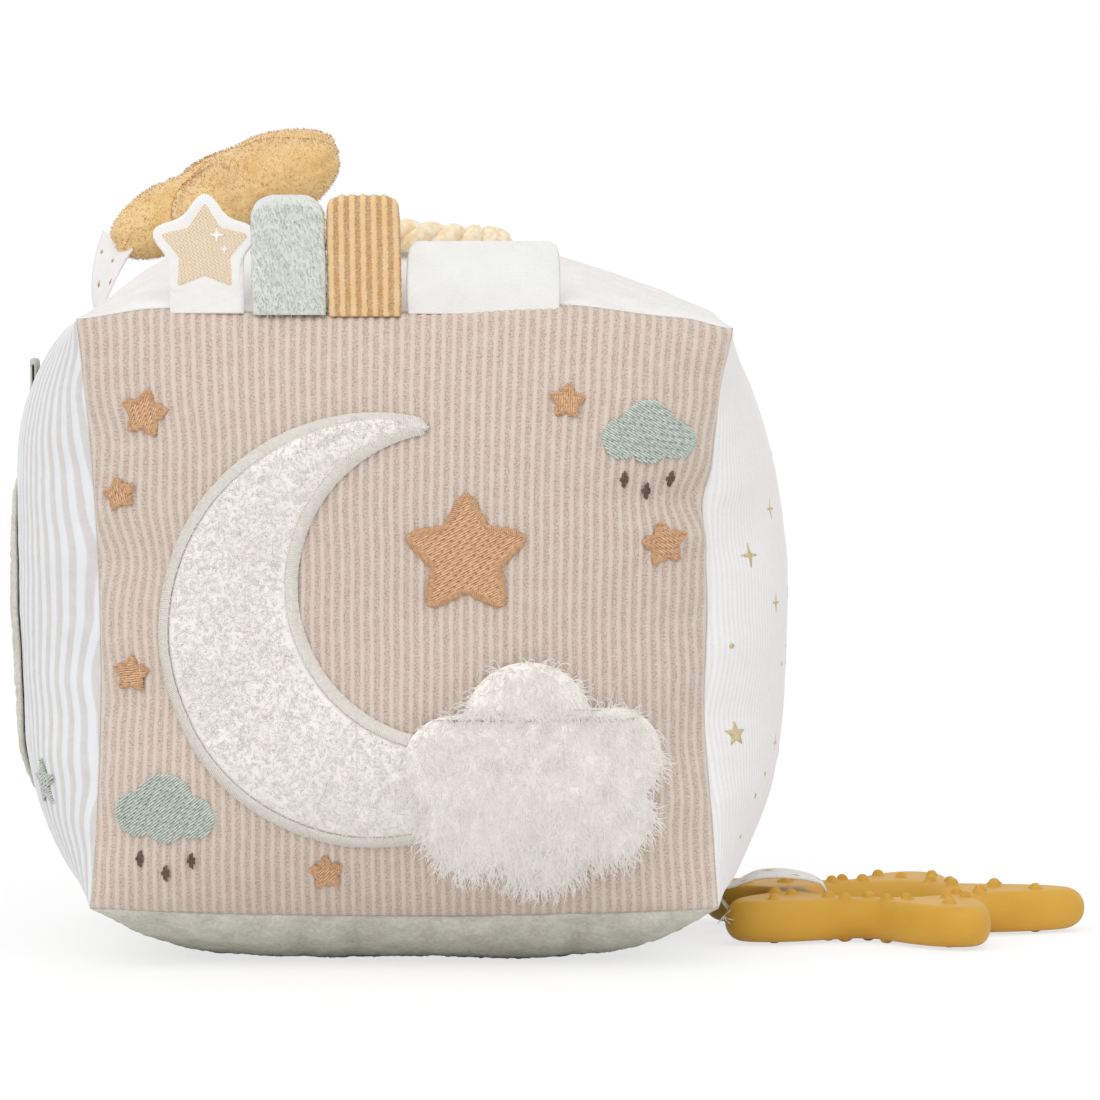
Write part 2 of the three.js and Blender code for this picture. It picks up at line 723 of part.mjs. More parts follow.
/** The star ring without nubs: a rounded section that widens along the arms, swept once round the hole. */
function teetherRing() {
  const sections = [];
  for (let i = 0; i < teetherSteps; i += 1) {
    const turn = 2 * Math.PI * i / teetherSteps;
    const outer = teetherOutline(turn) - teetherRounding;
    const inner = teetherHole + teetherRounding;
    const flatHalf = teetherThickness / 2 - teetherRounding;
    const section = [];
    for (let k = 0; k < teetherSides; k += 1) {
      const angle = -2 * Math.PI * (k + 0.5) / teetherSides;
      const radius = (Math.cos(angle) > 0 ? outer : inner) + teetherRounding * Math.cos(angle);
      const height = Math.sign(Math.sin(angle)) * flatHalf + teetherRounding * Math.sin(angle);
      section.push(new THREE.Vector3(radius * Math.cos(turn), radius * Math.sin(turn), height));
    }
    sections.push(section);
  }
  return sweep(sections, true).translate(0, 0, nubHeight + teetherThickness / 2);
}

/** Adds the silicone star ring with its nubs, lying on the floor beside the cube. */
function addTeether() {
  let solid = solidOf(teetherRing());
  for (let k = 0; k < nubCount; k += 1) {
    const angle = 2 * Math.PI * (k + 0.5) / nubCount;
    const ribbonTurn = Math.abs(Math.atan2(Math.sin(angle - Math.PI), Math.cos(angle - Math.PI)));
    const share = nubRowShares[k % nubRowShares.length];
    const radius = THREE.MathUtils.lerp(teetherHole, teetherOutline(angle), share);
    if (radius * ribbonTurn > teetherRibbonWidth / 2 + nubRadius) {
      for (const height of [nubHeight, nubHeight + teetherThickness]) {
        const nub = new THREE.SphereGeometry(1, ...nubSegments);
        nub.rotateX(Math.PI / 2).scale(nubRadius, nubRadius, nubHeight);
        nub.translate(radius * Math.cos(angle), radius * Math.sin(angle), height);
        solid = solid.add(solidOf(nub));
      }
    }
  }
  const teether = addPiece('teether_star', geometryOf(solid), ochreSilicone);
  teether.position.set(teetherSide, teetherBack, 0);
  teether.rotation.z = THREE.MathUtils.degToRad(teetherTurn);
}

/** Adds the ribbon loop that holds the teether, from the lower right seam round the ring and back. */
function addTeetherRibbon() {
  const half = teetherRibbonThickness / 2;
  const notchReach = (teetherWaist + teetherHole) / 2;
  const notchShift = notchReach * Math.sin(THREE.MathUtils.degToRad(teetherTurn));
  const back = teetherBack - notchShift;
  const seam = framePoint(new THREE.Vector3(1, 2 * back / seamDepth, -1));
  const wallReach = Math.sqrt(teetherHole ** 2 - (teetherRibbonWidth / 2 + notchShift) ** 2);
  const root = new THREE.Vector2(seam.x + 3 * clearance + half, half + teetherRibbonThickness / 4);
  const holeWall = teetherSide - wallReach;
  const bend = new THREE.Vector2(holeWall + 2 * clearance + half, nubHeight + teetherThickness / 2);
  const run = bend.x - root.x;
  const points = ribbonLoopShares.map(([side, height]) => new THREE.Vector3(
    root.x + side * run,
    root.y + height * (bend.y - root.y),
    0,
  ));
  points[0].y = seam.z - clearance;
  const curve = new THREE.CatmullRomCurve3(points, true);
  const stations = bandStations(curve, ribbonLoopSteps, back, 0, true);
  const band = bandGeometry(stations, teetherRibbonWidth, teetherRibbonThickness, true);
  addPiece('teether_ribbon', band, whiteWeave);
}

addPanels();
addInside();
addFrontDesign();
addMirror();
addSideLoop();
addTags();
addCord();
addPlushStar();
addStarRibbon();
addTeether();
addTeetherRibbon();

export default group;
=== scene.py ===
"""Looks of a soft activity cube for a baby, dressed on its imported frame.

Lengths in this file are millimetres until a mesh is made, which is in metres. The cube stands on the floor with the
origin under its middle, its front panel faces -Y and the teething ring lies towards +X.
"""

import logging
import math
from dataclasses import dataclass, field
from enum import Enum
from functools import cache
from typing import Callable

import bpy
import numpy as np
from mathutils import Euler, Matrix, Vector


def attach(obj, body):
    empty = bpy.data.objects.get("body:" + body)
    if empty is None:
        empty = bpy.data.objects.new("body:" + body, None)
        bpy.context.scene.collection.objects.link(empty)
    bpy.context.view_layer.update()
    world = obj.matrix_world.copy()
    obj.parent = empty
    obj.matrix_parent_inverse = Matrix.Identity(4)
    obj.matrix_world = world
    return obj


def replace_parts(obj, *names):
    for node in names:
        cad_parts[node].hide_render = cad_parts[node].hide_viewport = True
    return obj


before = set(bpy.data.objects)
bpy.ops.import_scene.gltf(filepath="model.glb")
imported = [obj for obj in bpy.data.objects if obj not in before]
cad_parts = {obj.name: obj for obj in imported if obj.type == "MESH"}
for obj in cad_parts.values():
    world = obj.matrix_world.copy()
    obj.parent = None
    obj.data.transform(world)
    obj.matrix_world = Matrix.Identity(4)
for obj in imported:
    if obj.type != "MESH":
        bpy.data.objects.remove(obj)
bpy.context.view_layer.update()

log = logging.getLogger("activity_cube")
MM = 0.001
Array = np.ndarray
Colour = tuple[float, float, float, float]
Piece = bpy.types.Object
Tree = bpy.types.NodeTree
Node = bpy.types.Node
Socket = bpy.types.NodeSocket
Placer = Callable[[Array, Array, Array], Array]
WHITE = (1.0, 1.0, 1.0, 1.0)
MARK_RINGS = 3
MARK_SECTORS = 40


def srgb(red: int, green: int, blue: int) -> Colour:
    """Returns a linear colour from screen values of 0 to 255."""
    shares = (red / 255, green / 255, blue / 255)
    linear = [share / 12.92 if share <= 0.04045 else ((share + 0.055) / 1.055) ** 2.4 for share in shares]
    return (linear[0], linear[1], linear[2], 1.0)


def smooth_noise(x: Array, y: Array, seed: int) -> Array:
    """Smooth noise from -1 to 1 with one bump for each unit of x and y.

    Args:
        x: first coordinates.
        y: second coordinates, of the same shape.
        seed: number that picks the pattern.

    Returns:
        The noise at each place.
    """
    side = 64
    table = np.random.default_rng(seed).uniform(-1.0, 1.0, (side, side))
    column = np.floor(x).astype(int)
    row = np.floor(y).astype(int)
    across, up = (part * part * (3 - 2 * part) for part in (x - column, y - row))
    low, high = (
        table[line % side, column % side] * (1 - across) + table[line % side, (column + 1) % side] * across
        for line in (row, row + 1))
    return low * (1 - up) + high * up


def eased(x: Array, places: tuple[float, ...], values: tuple[float, ...]) -> Array:
    """Values eased from each listed place to the next.

    Args:
        x: where the values are wanted.
        places: the listed places, rising.
        values: the value at each of them.

    Returns:
        The value at each x.
    """
    index = np.clip(np.searchsorted(places, x) - 1, 0, len(places) - 2)
    start = np.asarray(places)[index]
    end = np.asarray(places)[index + 1]
    share = np.clip((x - start) / (end - start), 0.0, 1.0)
    share = share * share * (3 - 2 * share)
    return np.asarray(values)[index] * (1 - share) + np.asarray(values)[index + 1] * share


def unit(vectors: Array) -> Array:
    """Returns the vectors at length one."""
    return vectors / np.maximum(np.linalg.norm(vectors, axis=-1, keepdims=True), 1e-9)


def around(steps: int) -> Array:
    """Returns evenly spaced directions round a circle, turning left."""
    angle = np.arange(steps) * 2 * math.pi / steps
    return np.stack([np.cos(angle), np.sin(angle)], axis=-1)


def moved(points: Array, matrix: Matrix) -> Array:
    """Returns the points turned and moved by a matrix."""
    turn = np.array(matrix)
    return points @ turn[:3, :3].T + turn[:3, 3]


def joined(*corners: Array | int) -> Array:
    """Returns faces from the point indices of each of their corners."""
    return np.stack(np.broadcast_arrays(*corners), axis=-1)


def shown(name: str, data: bpy.types.ID) -> Piece:
    """Puts a new object with this data in the scene."""
    piece = bpy.data.objects.new(name, data)
    bpy.context.scene.collection.objects.link(piece)
    return piece


def grid_faces(rows: int, columns: int, first: int = 0, wrap: bool = False) -> Array:
    """Quads of a grid of points stored row by row.

    Args:
        rows: number of rows of points.
        columns: number of points in a row.
        first: index of the first point.
        wrap: whether each row closes on itself.

    Returns:
        Point indices, four to a quad.
    """
    row, column = np.meshgrid(np.arange(rows - 1), np.arange(columns if wrap else columns - 1), indexing="ij")
    start = row * columns
    beside = (column + 1) % columns
    quads = joined(start + column, start + beside, start + columns + beside, start + columns + column)
    return quads.reshape(-1, 4) + first


def grid_sides(rows: int, columns: int) -> list[Array]:
    """Returns the point indices along the four sides of a grid, one after the other round it."""
    row = np.arange(rows) * columns
    column = np.arange(columns)
    return [column, row + columns - 1, (row[-1] + column)[::-1], row[::-1]]


def mesh_piece(name: str, points: Array, faces: list[Array], uv: Array | None = None) -> Piece:
    """Makes an object from points in millimetres.

    Args:
        name: name of the piece.
        points: places of the points.
        faces: arrays of point indices, each with three or four to a face.
        uv: cloth coordinates of each point in millimetres.

    Returns:
        The new object, smooth shaded, at the origin.
    """
    mesh = bpy.data.meshes.new(name)
    loops = np.concatenate([group.ravel() for group in faces]).astype(np.int32)
    totals = np.concatenate([np.full(len(group), group.shape[1]) for group in faces])
    starts = np.concatenate([[0], np.cumsum(totals)[:-1]]).astype(np.int32)
    mesh.vertices.add(len(points))
    mesh.vertices.foreach_set("co", (points.reshape(-1, 3) * MM).astype(np.float32).ravel())
    mesh.loops.add(len(loops))
    mesh.loops.foreach_set("vertex_index", loops)
    mesh.polygons.add(len(totals))
    mesh.polygons.foreach_set("loop_start", starts)
    mesh.polygons.foreach_set("use_smooth", np.ones(len(totals), bool))
    if uv is not None:
        layer = mesh.uv_layers.new(name="cloth")
        layer.data.foreach_set("uv", uv.reshape(-1, 2)[loops].astype(np.float32).ravel())
    mesh.update(calc_edges=True)
    mesh.validate()
    return shown(name, mesh)


def closed_sheet(name: str, outer: Array, inner: Array, uv: Array) -> Piece:
    """Makes a closed sheet between two grids of points of the same size.

    Args:
        name: name of the piece.
        outer: rows of points of the side that faces out.
        inner: the same points on the other side.
        uv: cloth coordinates of the grid.

    Returns:
        The new object.
    """
    rows, columns = outer.shape[:2]
    count = rows * columns
    back = grid_faces(rows, columns, count)[:, ::-1]
    edge = np.concatenate([side[:-1] for side in grid_sides(rows, columns)])
    ahead = np.roll(edge, -1)
    rim = joined(ahead, edge, edge + count, ahead + count)
    points = np.concatenate([outer.reshape(-1, 3), inner.reshape(-1, 3)])
    return mesh_piece(name, points, [grid_faces(rows, columns), back, rim], np.concatenate([uv.reshape(-1, 2)] * 2))


def backed_sheet(name: str, outer: Array, thickness: float, stride: int, uv: Array) -> Piece:
    """Makes a finely shaped sheet with a coarse back.

    Args:
        name: name of the piece.
        outer: rows of points of the side that faces out.
        thickness: how far the back lies behind the front.
        stride: how many fine steps one coarse step spans.
        uv: cloth coordinates of the grid.

    Returns:
        The new object, closed.
    """
    normal = grid_normal(outer)
    coarse = outer[::stride, ::stride] - normal[::stride, ::stride] * thickness
    count = outer[..., 0].size
    half = stride // 2
    rim = []
    for fine, few in zip(grid_sides(*outer.shape[:2]), grid_sides(*coarse.shape[:2])):
        for step, (near, far) in enumerate(zip(few + count, few[1:] + count)):
            run = fine[step * stride:(step + 1) * stride + 1]
            rim += [(run[k + 1], run[k], near if k < half else far) for k in range(stride)]
            rim.append((run[half], near, far))
    points = np.concatenate([outer.reshape(-1, 3), coarse.reshape(-1, 3)])
    cloth = np.concatenate([uv.reshape(-1, 2), uv[::stride, ::stride].reshape(-1, 2)])
    back = grid_faces(*coarse.shape[:2], count)[:, ::-1]
    return mesh_piece(name, points, [grid_faces(*outer.shape[:2]), back, np.array(rim)], cloth)


def grid_normal(points: Array) -> Array:
    """Returns the direction out of a grid of points at each of them."""
    return unit(np.cross(np.gradient(points, axis=1), np.gradient(points, axis=0)))


def tube(name: str, rings: Array, uv: Array | None = None) -> Piece:
    """Makes a closed tube through rings of points that turn left about the way of travel.

    Args:
        name: name of the piece.
        rings: ring by ring, the points of each.
        uv: cloth coordinates, ring by ring.

    Returns:
        The new object.
    """
    count, sides = rings.shape[:2]
    side = np.arange(sides)
    beside = (side + 1) % sides
    last = (count - 1) * sides
    closing = joined(last + side, last + beside, beside, side)
    return mesh_piece(name, rings.reshape(-1, 3), [grid_faces(count, sides, 0, True), closing], uv)


def polar_reach(polygons: list[Array], centre: tuple[float, float], sectors: int) -> Array:
    """Distance from a centre to the outline of joined polygons in each direction.

    Args:
        polygons: corner points of each polygon.
        centre: a point that sees the whole outline.
        sectors: number of directions, evenly spread.

    Returns:
        The distance in each direction.
    """
    ray = around(sectors)[:, None]
    best = np.zeros(sectors)
    for polygon in polygons:
        start = (polygon - np.asarray(centre))[None]
        span = (np.roll(polygon, -1, axis=0) - polygon)[None]
        cross = ray[..., 0] * span[..., 1] - ray[..., 1] * span[..., 0]
        cross = np.where(np.abs(cross) < 1e-9, 1e-9, cross)
        distance = (start[..., 0] * span[..., 1] - start[..., 1] * span[..., 0]) / cross
        share = (start[..., 0] * ray[..., 1] - start[..., 1] * ray[..., 0]) / cross
        hit = (share >= -1e-6) & (share <= 1 + 1e-6) & (distance > 0)
        best = np.maximum(best, np.where(hit, distance, 0.0).max(axis=1))
    return best


def disc_points(centre: tuple[float, float], reach: Array, share: Array) -> Array:
    """Points of a disc's rings, its centre first.

    Args:
        centre: middle of the disc.
        reach: distance from the middle to the outline in each direction.
        share: size of each ring as a share of the outline's.

    Returns:
        The flat points.
    """
    flat = np.asarray(centre) + (share[:, None] * reach)[..., None] * around(len(reach))
    return np.concatenate([[centre], flat.reshape(-1, 2)])


def disc_faces(rings: int, sectors: int) -> tuple[Array, Array]:
    """Returns the middle triangles and the quads of a disc whose first point is its centre."""
    ring = np.arange(sectors)
    return joined(0, 1 + ring, 1 + (ring + 1) % sectors), grid_faces(rings, sectors, 1, True)[:, ::-1]


def disc_solid(rings: int, sectors: int, first: int = 0) -> list[Array]:
    """Faces of an upper and a lower disc, stored one after the other, and of the rim between them.

    Args:
        rings: number of rings of points.
        sectors: number of points in a ring.
        first: index of the first point.

    Returns:
        The upper middle and rings, the lower ones and the rim.
    """
    fan, body = disc_faces(rings, sectors)
    count = 1 + rings * sectors
    last = count - sectors + np.arange(sectors)
    beside = np.roll(last, -1)
    rim = joined(beside, last, last + count, beside + count)
    return [faces + first for faces in (fan, body, (fan + count)[:, ::-1], (body + count)[:, ::-1], rim)]


def ring_shares(rings: int) -> Array:
    """Returns ring sizes from the centre out, closer together towards the outline."""
    return np.sin(np.arange(1, rings + 1) / rings * math.pi / 2)


def polar_patch(name: str, polygons: list[Array], centre: tuple[float, float], rings: int, sectors: int,
                heights: Callable[[Array], tuple[Array, Array]], place: Placer) -> Piece:
    """Makes a closed patch from an outline around a centre.

    Args:
        name: name of the piece.
        polygons: polygons whose joined outline the patch has.
        centre: a point that sees the whole outline.
        rings: number of rings of points.
        sectors: number of points in a ring.
        heights: gives the upper and lower height from the ring's share.
        place: puts side, height and lift on the surface that carries the patch.

    Returns:
        The new object.
    """
    share = ring_shares(rings)
    flat = disc_points(centre, polar_reach(polygons, centre, sectors), share)
    level = np.concatenate([[0.0], np.repeat(share, sectors)])
    points = [place(flat[:, 0], flat[:, 1], lift) for lift in heights(level)]
    return mesh_piece(name, np.concatenate(points), disc_solid(rings, sectors), np.concatenate([flat, flat]))


def star_polygon(radius: float, waist: float, turn: float, tip: float, points: int = 5,
                 centre: tuple[float, float] = (0.0, 0.0)) -> Array:
    """Outline of a star with rounded tips.

    Args:
        radius: distance from the centre to a tip.
        waist: distance from the centre to a notch.
        turn: direction of the first tip in degrees.
        tip: how far a tip is cut back and rounded.
        points: number of tips.
        centre: middle of the star.

    Returns:
        The outline's points.
    """
    corners = []
    for index in range(2 * points):
        angle = math.radians(turn + 180 / points * index)
        corners.append(np.array([math.cos(angle), math.sin(angle)]) * (waist if index % 2 else radius))
    outline = []
    for index, corner in enumerate(corners):
        cut = tip * (0.5 if index % 2 else 1.0)
        start, end = (corner + (beside - corner) / np.linalg.norm(beside - corner) * cut
                      for beside in (corners[index - 1], corners[(index + 1) % len(corners)]))
        for share in np.linspace(0, 1, 5):
            outline.append((1 - share) ** 2 * start + 2 * share * (1 - share) * corner + share ** 2 * end)
    return np.array(outline) + np.asarray(centre)


def disc_polygon(side: float, height: float, radius: float, steps: int) -> Array:
    """Returns the outline of a disc."""
    return np.array([side, height]) + radius * around(steps)


class Graph:
    """A node tree with short calls that add and join nodes."""

    def __init__(self, tree: Tree) -> None:
        """Takes the tree to work on."""
        self.tree = tree

    def add(self, kind: str, values: dict | None = None, **settings: object) -> Node:
        """Adds a node.

        Args:
            kind: type name of the node.
            values: value or linked socket of each input, by name or index.
            **settings: properties of the node.

        Returns:
            The new node.
        """
        node = self.tree.nodes.new(kind)
        for key, value in settings.items():
            setattr(node, key, value)
        for key, value in (values or {}).items():
            if isinstance(value, Socket):
                self.tree.links.new(value, node.inputs[key])
            else:
                node.inputs[key].default_value = value
        return node

    def first(self, kind: str, values: dict | None = None, **settings: object) -> Socket:
        """Adds a node and returns its first output."""
        return self.add(kind, values, **settings).outputs[0]

    def math(self, operation: str, first: object, second: object = 0.0) -> Socket:
        """Returns the result of a Math node."""
        return self.first("ShaderNodeMath", {0: first, 1: second}, operation=operation)

    def times(self, first: object, second: object) -> Socket:
        """Returns a product."""
        return self.math("MULTIPLY", first, second)

    def mix(self, factor: object, first: object, second: object) -> Socket:
        """Returns a colour between two colours."""
        return self.add("ShaderNodeMix", {0: factor, 6: first, 7: second}, data_type="RGBA").outputs[2]

    def ramp(self, value: object, low: float, high: float) -> Socket:
        """Returns a value eased from 0 at low to 1 at high."""
        return self.first("ShaderNodeMapRange", {0: value, 1: low, 2: high, 3: 0.0, 4: 1.0},
                          interpolation_type="SMOOTHSTEP")

    def noise(self, place: Socket, scale: object, detail: float = 2.0, **more: float) -> Socket:
        """Returns noise from 0 to 1, with any more inputs of its node by name."""
        return self.first("ShaderNodeTexNoise", {"Vector": place, "Scale": scale, "Detail": detail, **more})

    def effect(self, tree: Tree, values: dict) -> Node:
        """Adds a shader group with its own values."""
        return self.add("ShaderNodeGroup", values, node_tree=tree)

    def object_place(self) -> Socket:
        """Returns places in the object's own space."""
        return self.add("ShaderNodeTexCoord").outputs["Object"]

    def cloth_place(self) -> Socket:
        """Returns places on the flat cloth in millimetres."""
        return self.first("ShaderNodeUVMap", uv_map="cloth")

    def give(self, **results: Socket) -> Tree:
        """Joins results to the outputs of the group and returns its tree."""
        out = self.add("NodeGroupOutput")
        for label, socket in results.items():
            self.tree.links.new(socket, out.inputs[label])
        return self.tree


class SocketKind(Enum):
    """Kinds of group socket."""

    NUMBER = "NodeSocketFloat"
    WHOLE = "NodeSocketInt"
    COLOUR = "NodeSocketColor"
    VECTOR = "NodeSocketVector"
    SHAPE = "NodeSocketGeometry"
    MATERIAL = "NodeSocketMaterial"


def new_group(name: str, kind: str, inputs: dict[str, SocketKind],
              outputs: dict[str, SocketKind]) -> tuple[Graph, bpy.types.bpy_prop_collection]:
    """Makes a node group with named sockets.

    Args:
        name: name of the group.
        kind: type name of the tree.
        inputs: kind of each input.
        outputs: kind of each output.

    Returns:
        The graph and the sockets that give the group's inputs.
    """
    tree = bpy.data.node_groups.new(name, kind)
    for way, sockets in (("INPUT", inputs), ("OUTPUT", outputs)):
        for label, socket in sockets.items():
            tree.interface.new_socket(label, in_out=way, socket_type=socket.value)
    graph = Graph(tree)
    return graph, graph.add("NodeGroupInput").outputs


class Effects:
    """Shader groups that several finishes share, each built once."""

    @staticmethod
    @cache
    def wales() -> Tree:
        """Lighter raised ribs with a darker, speckled ground between them: the ribs' lighter colour is a painted
        highlight and the ground's darker colour is painted shade in the grooves, which on the striped cotton is also
        its own stripe.
        """
        kind = SocketKind
        graph, given = new_group(
            "wales", "ShaderNodeTree",
            {"Cloth": kind.VECTOR, "Pitch": kind.NUMBER, "Rib Share": kind.NUMBER, "Fuzz": kind.NUMBER,
             "Rib": kind.COLOUR, "Ground": kind.COLOUR},
            {"Color": kind.COLOUR, "Height": kind.NUMBER})
        turn = graph.math("DIVIDE", graph.first("ShaderNodeSeparateXYZ", {0: given["Cloth"]}), given["Pitch"])
        wave = graph.math("COSINE", graph.times(turn, 2 * math.pi))
        edge = graph.math("COSINE", graph.times(given["Rib Share"], math.pi))
        speck = graph.noise(given["Cloth"], 2.6, Roughness=0.7)
        fuzz = graph.times(graph.math("SUBTRACT", speck, 0.5), given["Fuzz"])
        rib = graph.ramp(graph.math("ADD", graph.math("SUBTRACT", wave, edge), fuzz), -0.5, 0.5)
        soft = graph.noise(given["Cloth"], 0.35, 3.0)
        # The ground is darker at specks where its grain sits low.
        dark = graph.mix(graph.times(given["Fuzz"], 0.16), given["Ground"], (0.12, 0.09, 0.07, 1.0))
        ground = graph.mix(graph.ramp(speck, 0.36, 0.6), dark, given["Ground"])
        # Painted highlight and shade: the rib colour lies on the crests and the darker ground colour in the grooves
        # between them.
        colour = graph.mix(rib, ground, given["Rib"])
        colour = graph.mix(graph.times(graph.ramp(soft, 0.35, 0.7), 0.09), colour, WHITE)
        grain = graph.times(speck, graph.math("SUBTRACT", 1.25, rib))
        height = graph.math("ADD", graph.times(grain, 0.5), graph.times(rib, 0.25))
        return graph.give(Color=colour, Height=height)

    @staticmethod
    @cache
    def threads() -> Tree:
        """A plain weave: threads that pass over and under each other."""
        kind = SocketKind
        graph, given = new_group("threads", "ShaderNodeTree",
                                 {"Cloth": kind.VECTOR, "Pitch": kind.NUMBER, "Turn": kind.NUMBER},
                                 {"Height": kind.NUMBER})
        turned = graph.first("ShaderNodeVectorRotate", {"Vector": given["Cloth"], "Angle": given["Turn"]},
                             rotation_type="Z_AXIS")
        cloth = graph.add("ShaderNodeSeparateXYZ", {0: turned}).outputs
        places = [graph.math("DIVIDE", cloth[axis], given["Pitch"]) for axis in (0, 1)]
        warp, weft = (graph.math("ABSOLUTE", graph.math("SINE", graph.times(place, math.pi))) for place in places)
        cells = graph.math("ADD", *(graph.math("FLOOR", place) for place in places))
        over = graph.math("FLOORED_MODULO", cells, 2.0)
        return graph.give(Height=graph.first("ShaderNodeMix", {0: over, 2: warp, 3: weft}))

    @staticmethod
    @cache
    def nap() -> Tree:
        """Brushed tufts of a pile cloth, lighter on their raised tops and darker towards the root colour in the
        hollows between them, where the darker colour is painted shade.
        """
        kind = SocketKind
        graph, given = new_group(
            "nap", "ShaderNodeTree",
            {"Place": kind.VECTOR, "Size": kind.NUMBER, "Tip": kind.COLOUR, "Root": kind.COLOUR},
            {"Color": kind.COLOUR, "Height": kind.NUMBER})
        scale = graph.math("DIVIDE", 1.0, given["Size"])
        tufts = graph.noise(given["Place"], scale, 4.0, Roughness=0.6, Distortion=0.4)
        brushed = graph.noise(given["Place"], graph.times(scale, 0.16))
        drift = graph.times(graph.ramp(brushed, 0.35, 0.65), 0.45)
        lift = graph.math("ADD", graph.times(graph.ramp(tufts, 0.33, 0.66), 0.55), drift)
        # The colour follows the tufts' height: the root colour in the low places is painted shade, the tip colour
        # lies on the raised tufts, with slow random patches over it.
        return graph.give(Color=graph.mix(lift, given["Root"], given["Tip"]), Height=tufts)

    @staticmethod
    @cache
    def drift() -> Tree:
        """A slow change between two close tones."""
        kind = SocketKind
        graph, given = new_group(
            "drift", "ShaderNodeTree",
            {"Place": kind.VECTOR, "Size": kind.NUMBER, "First": kind.COLOUR, "Second": kind.COLOUR},
            {"Color": kind.COLOUR})
        cloud = graph.noise(given["Place"], graph.math("DIVIDE", 1.0, given["Size"]), 3.0)
        return graph.give(Color=graph.mix(graph.ramp(cloud, 0.3, 0.7), given["First"], given["Second"]))


@dataclass(frozen=True)
class Finish:
    """What every finish has: a name, a roughness and a soft edge sheen."""

    name: str
    roughness: float = 0.9
    sheen: float = 0.25
    bump: float = 0.15

    def surface(self, graph: Graph) -> tuple[object, Socket | None]:
        """Returns the colour and the height of the surface."""
        raise NotImplementedError

    def settings(self) -> dict[str, object]:
        """Returns the shader's plain values."""
        return {"Roughness": self.roughness, "Sheen Weight": self.sheen, "Sheen Roughness": 0.5}

    def material(self) -> bpy.types.Material:
        """Builds the material, or returns the one already built."""
        name = self.name + "_look"
        if name in bpy.data.materials:
            return bpy.data.materials[name]
        made = bpy.data.materials.new(name)
        made.use_nodes = True
        graph = Graph(made.node_tree)
        shader = made.node_tree.nodes["Principled BSDF"]
        for key, value in self.settings().items():
            shader.inputs[key].default_value = value
        colour, height = self.surface(graph)
        if isinstance(colour, Socket):
            graph.tree.links.new(colour, shader.inputs["Base Color"])
        else:
            shader.inputs["Base Color"].default_value = colour
        if height is not None:
            bump = graph.first("ShaderNodeBump", {"Strength": 1.0, "Distance": self.bump * MM, "Height": height})
            graph.tree.links.new(bump, shader.inputs["Normal"])
        self.extend(graph, shader, colour)
        return made

    def extend(self, graph: Graph, shader: Node, colour: object) -> None:
        """Adds what a finish has beyond the plain shader."""


@dataclass(frozen=True)
class TwoTone(Finish):
    """A finish between two close colours."""

    first: Colour = WHITE
    second: Colour = WHITE

    def tone(self, graph: Graph, place: Socket, size: float) -> Socket:
        """Returns the slow change between the colours, in patches of a size."""
        return graph.effect(Effects.drift(), {
            "Place": place, "Size": size, "First": self.first, "Second": self.second}).outputs["Color"]


@dataclass(frozen=True)
class RibbedCloth(TwoTone):
    """Corduroy or ribbed cotton, its ribs along the cloth's second coordinate, with the ribs painted lighter as a
    highlight and the ground between them painted darker as shade in the grooves.
    """

    pitch: float = 2.1
    rib_share: float = 0.42
    fuzz: float = 0.4

    def surface(self, graph: Graph) -> tuple[object, Socket | None]:
        """Returns the ribs' colour and height."""
        ribs = graph.effect(Effects.wales(), {
            "Cloth": graph.cloth_place(), "Pitch": self.pitch, "Rib Share": self.rib_share, "Fuzz": self.fuzz,
            "Rib": self.first, "Ground": self.second}).outputs
        return ribs["Color"], ribs["Height"]


@dataclass(frozen=True)
class PlushCloth(TwoTone):
    """Short brushed pile, lighter on its raised tufts, with painted shade in the hollows between them."""

    tuft: float = 1.0

    def surface(self, graph: Graph) -> tuple[object, Socket | None]:
        """Returns the tufts' colour and height."""
        tufts = graph.effect(Effects.nap(), {
            "Place": graph.object_place(), "Size": self.tuft * MM, "Tip": self.first, "Root": self.second}).outputs
        return tufts["Color"], tufts["Height"]


@dataclass(frozen=True)
class WovenCloth(TwoTone):
    """Plain or satin ribbon cloth."""

    thread: float = 0.35
    turn: float = 0.0

    def surface(self, graph: Graph) -> tuple[object, Socket | None]:
        """Returns the cloth's colour and thread height."""
        cloth = graph.cloth_place()
        weave = graph.effect(Effects.threads(), {
            "Cloth": cloth, "Pitch": self.thread, "Turn": math.radians(self.turn)}).outputs["Height"]
        # Painted shade: the colour moves towards the second colour by up to 0.16 where the threads dip between each
        # other.
        gap = graph.times(graph.math("SUBTRACT", 1.0, weave), 0.16)
        return graph.mix(gap, self.tone(graph, cloth, 6.0), self.second), weave


@dataclass(frozen=True)
class Fibre(TwoTone):
    """Loose strands, threads and other fine fibre."""

    patch: float = 1.5
    see_through: float = 0.0

    def surface(self, graph: Graph) -> tuple[object, Socket | None]:
        """Returns the fibre's colour."""
        return self.tone(graph, graph.object_place(), self.patch * MM), None

    def extend(self, graph: Graph, shader: Node, colour: object) -> None:
        """Lets light pass through a strand."""
        if self.see_through:
            through = graph.first("ShaderNodeBsdfTranslucent", {"Color": colour})
            mixed = graph.first("ShaderNodeMixShader", {0: self.see_through, 1: shader.outputs[0], 2: through})
            graph.tree.links.new(mixed, graph.tree.nodes["Material Output"].inputs["Surface"])


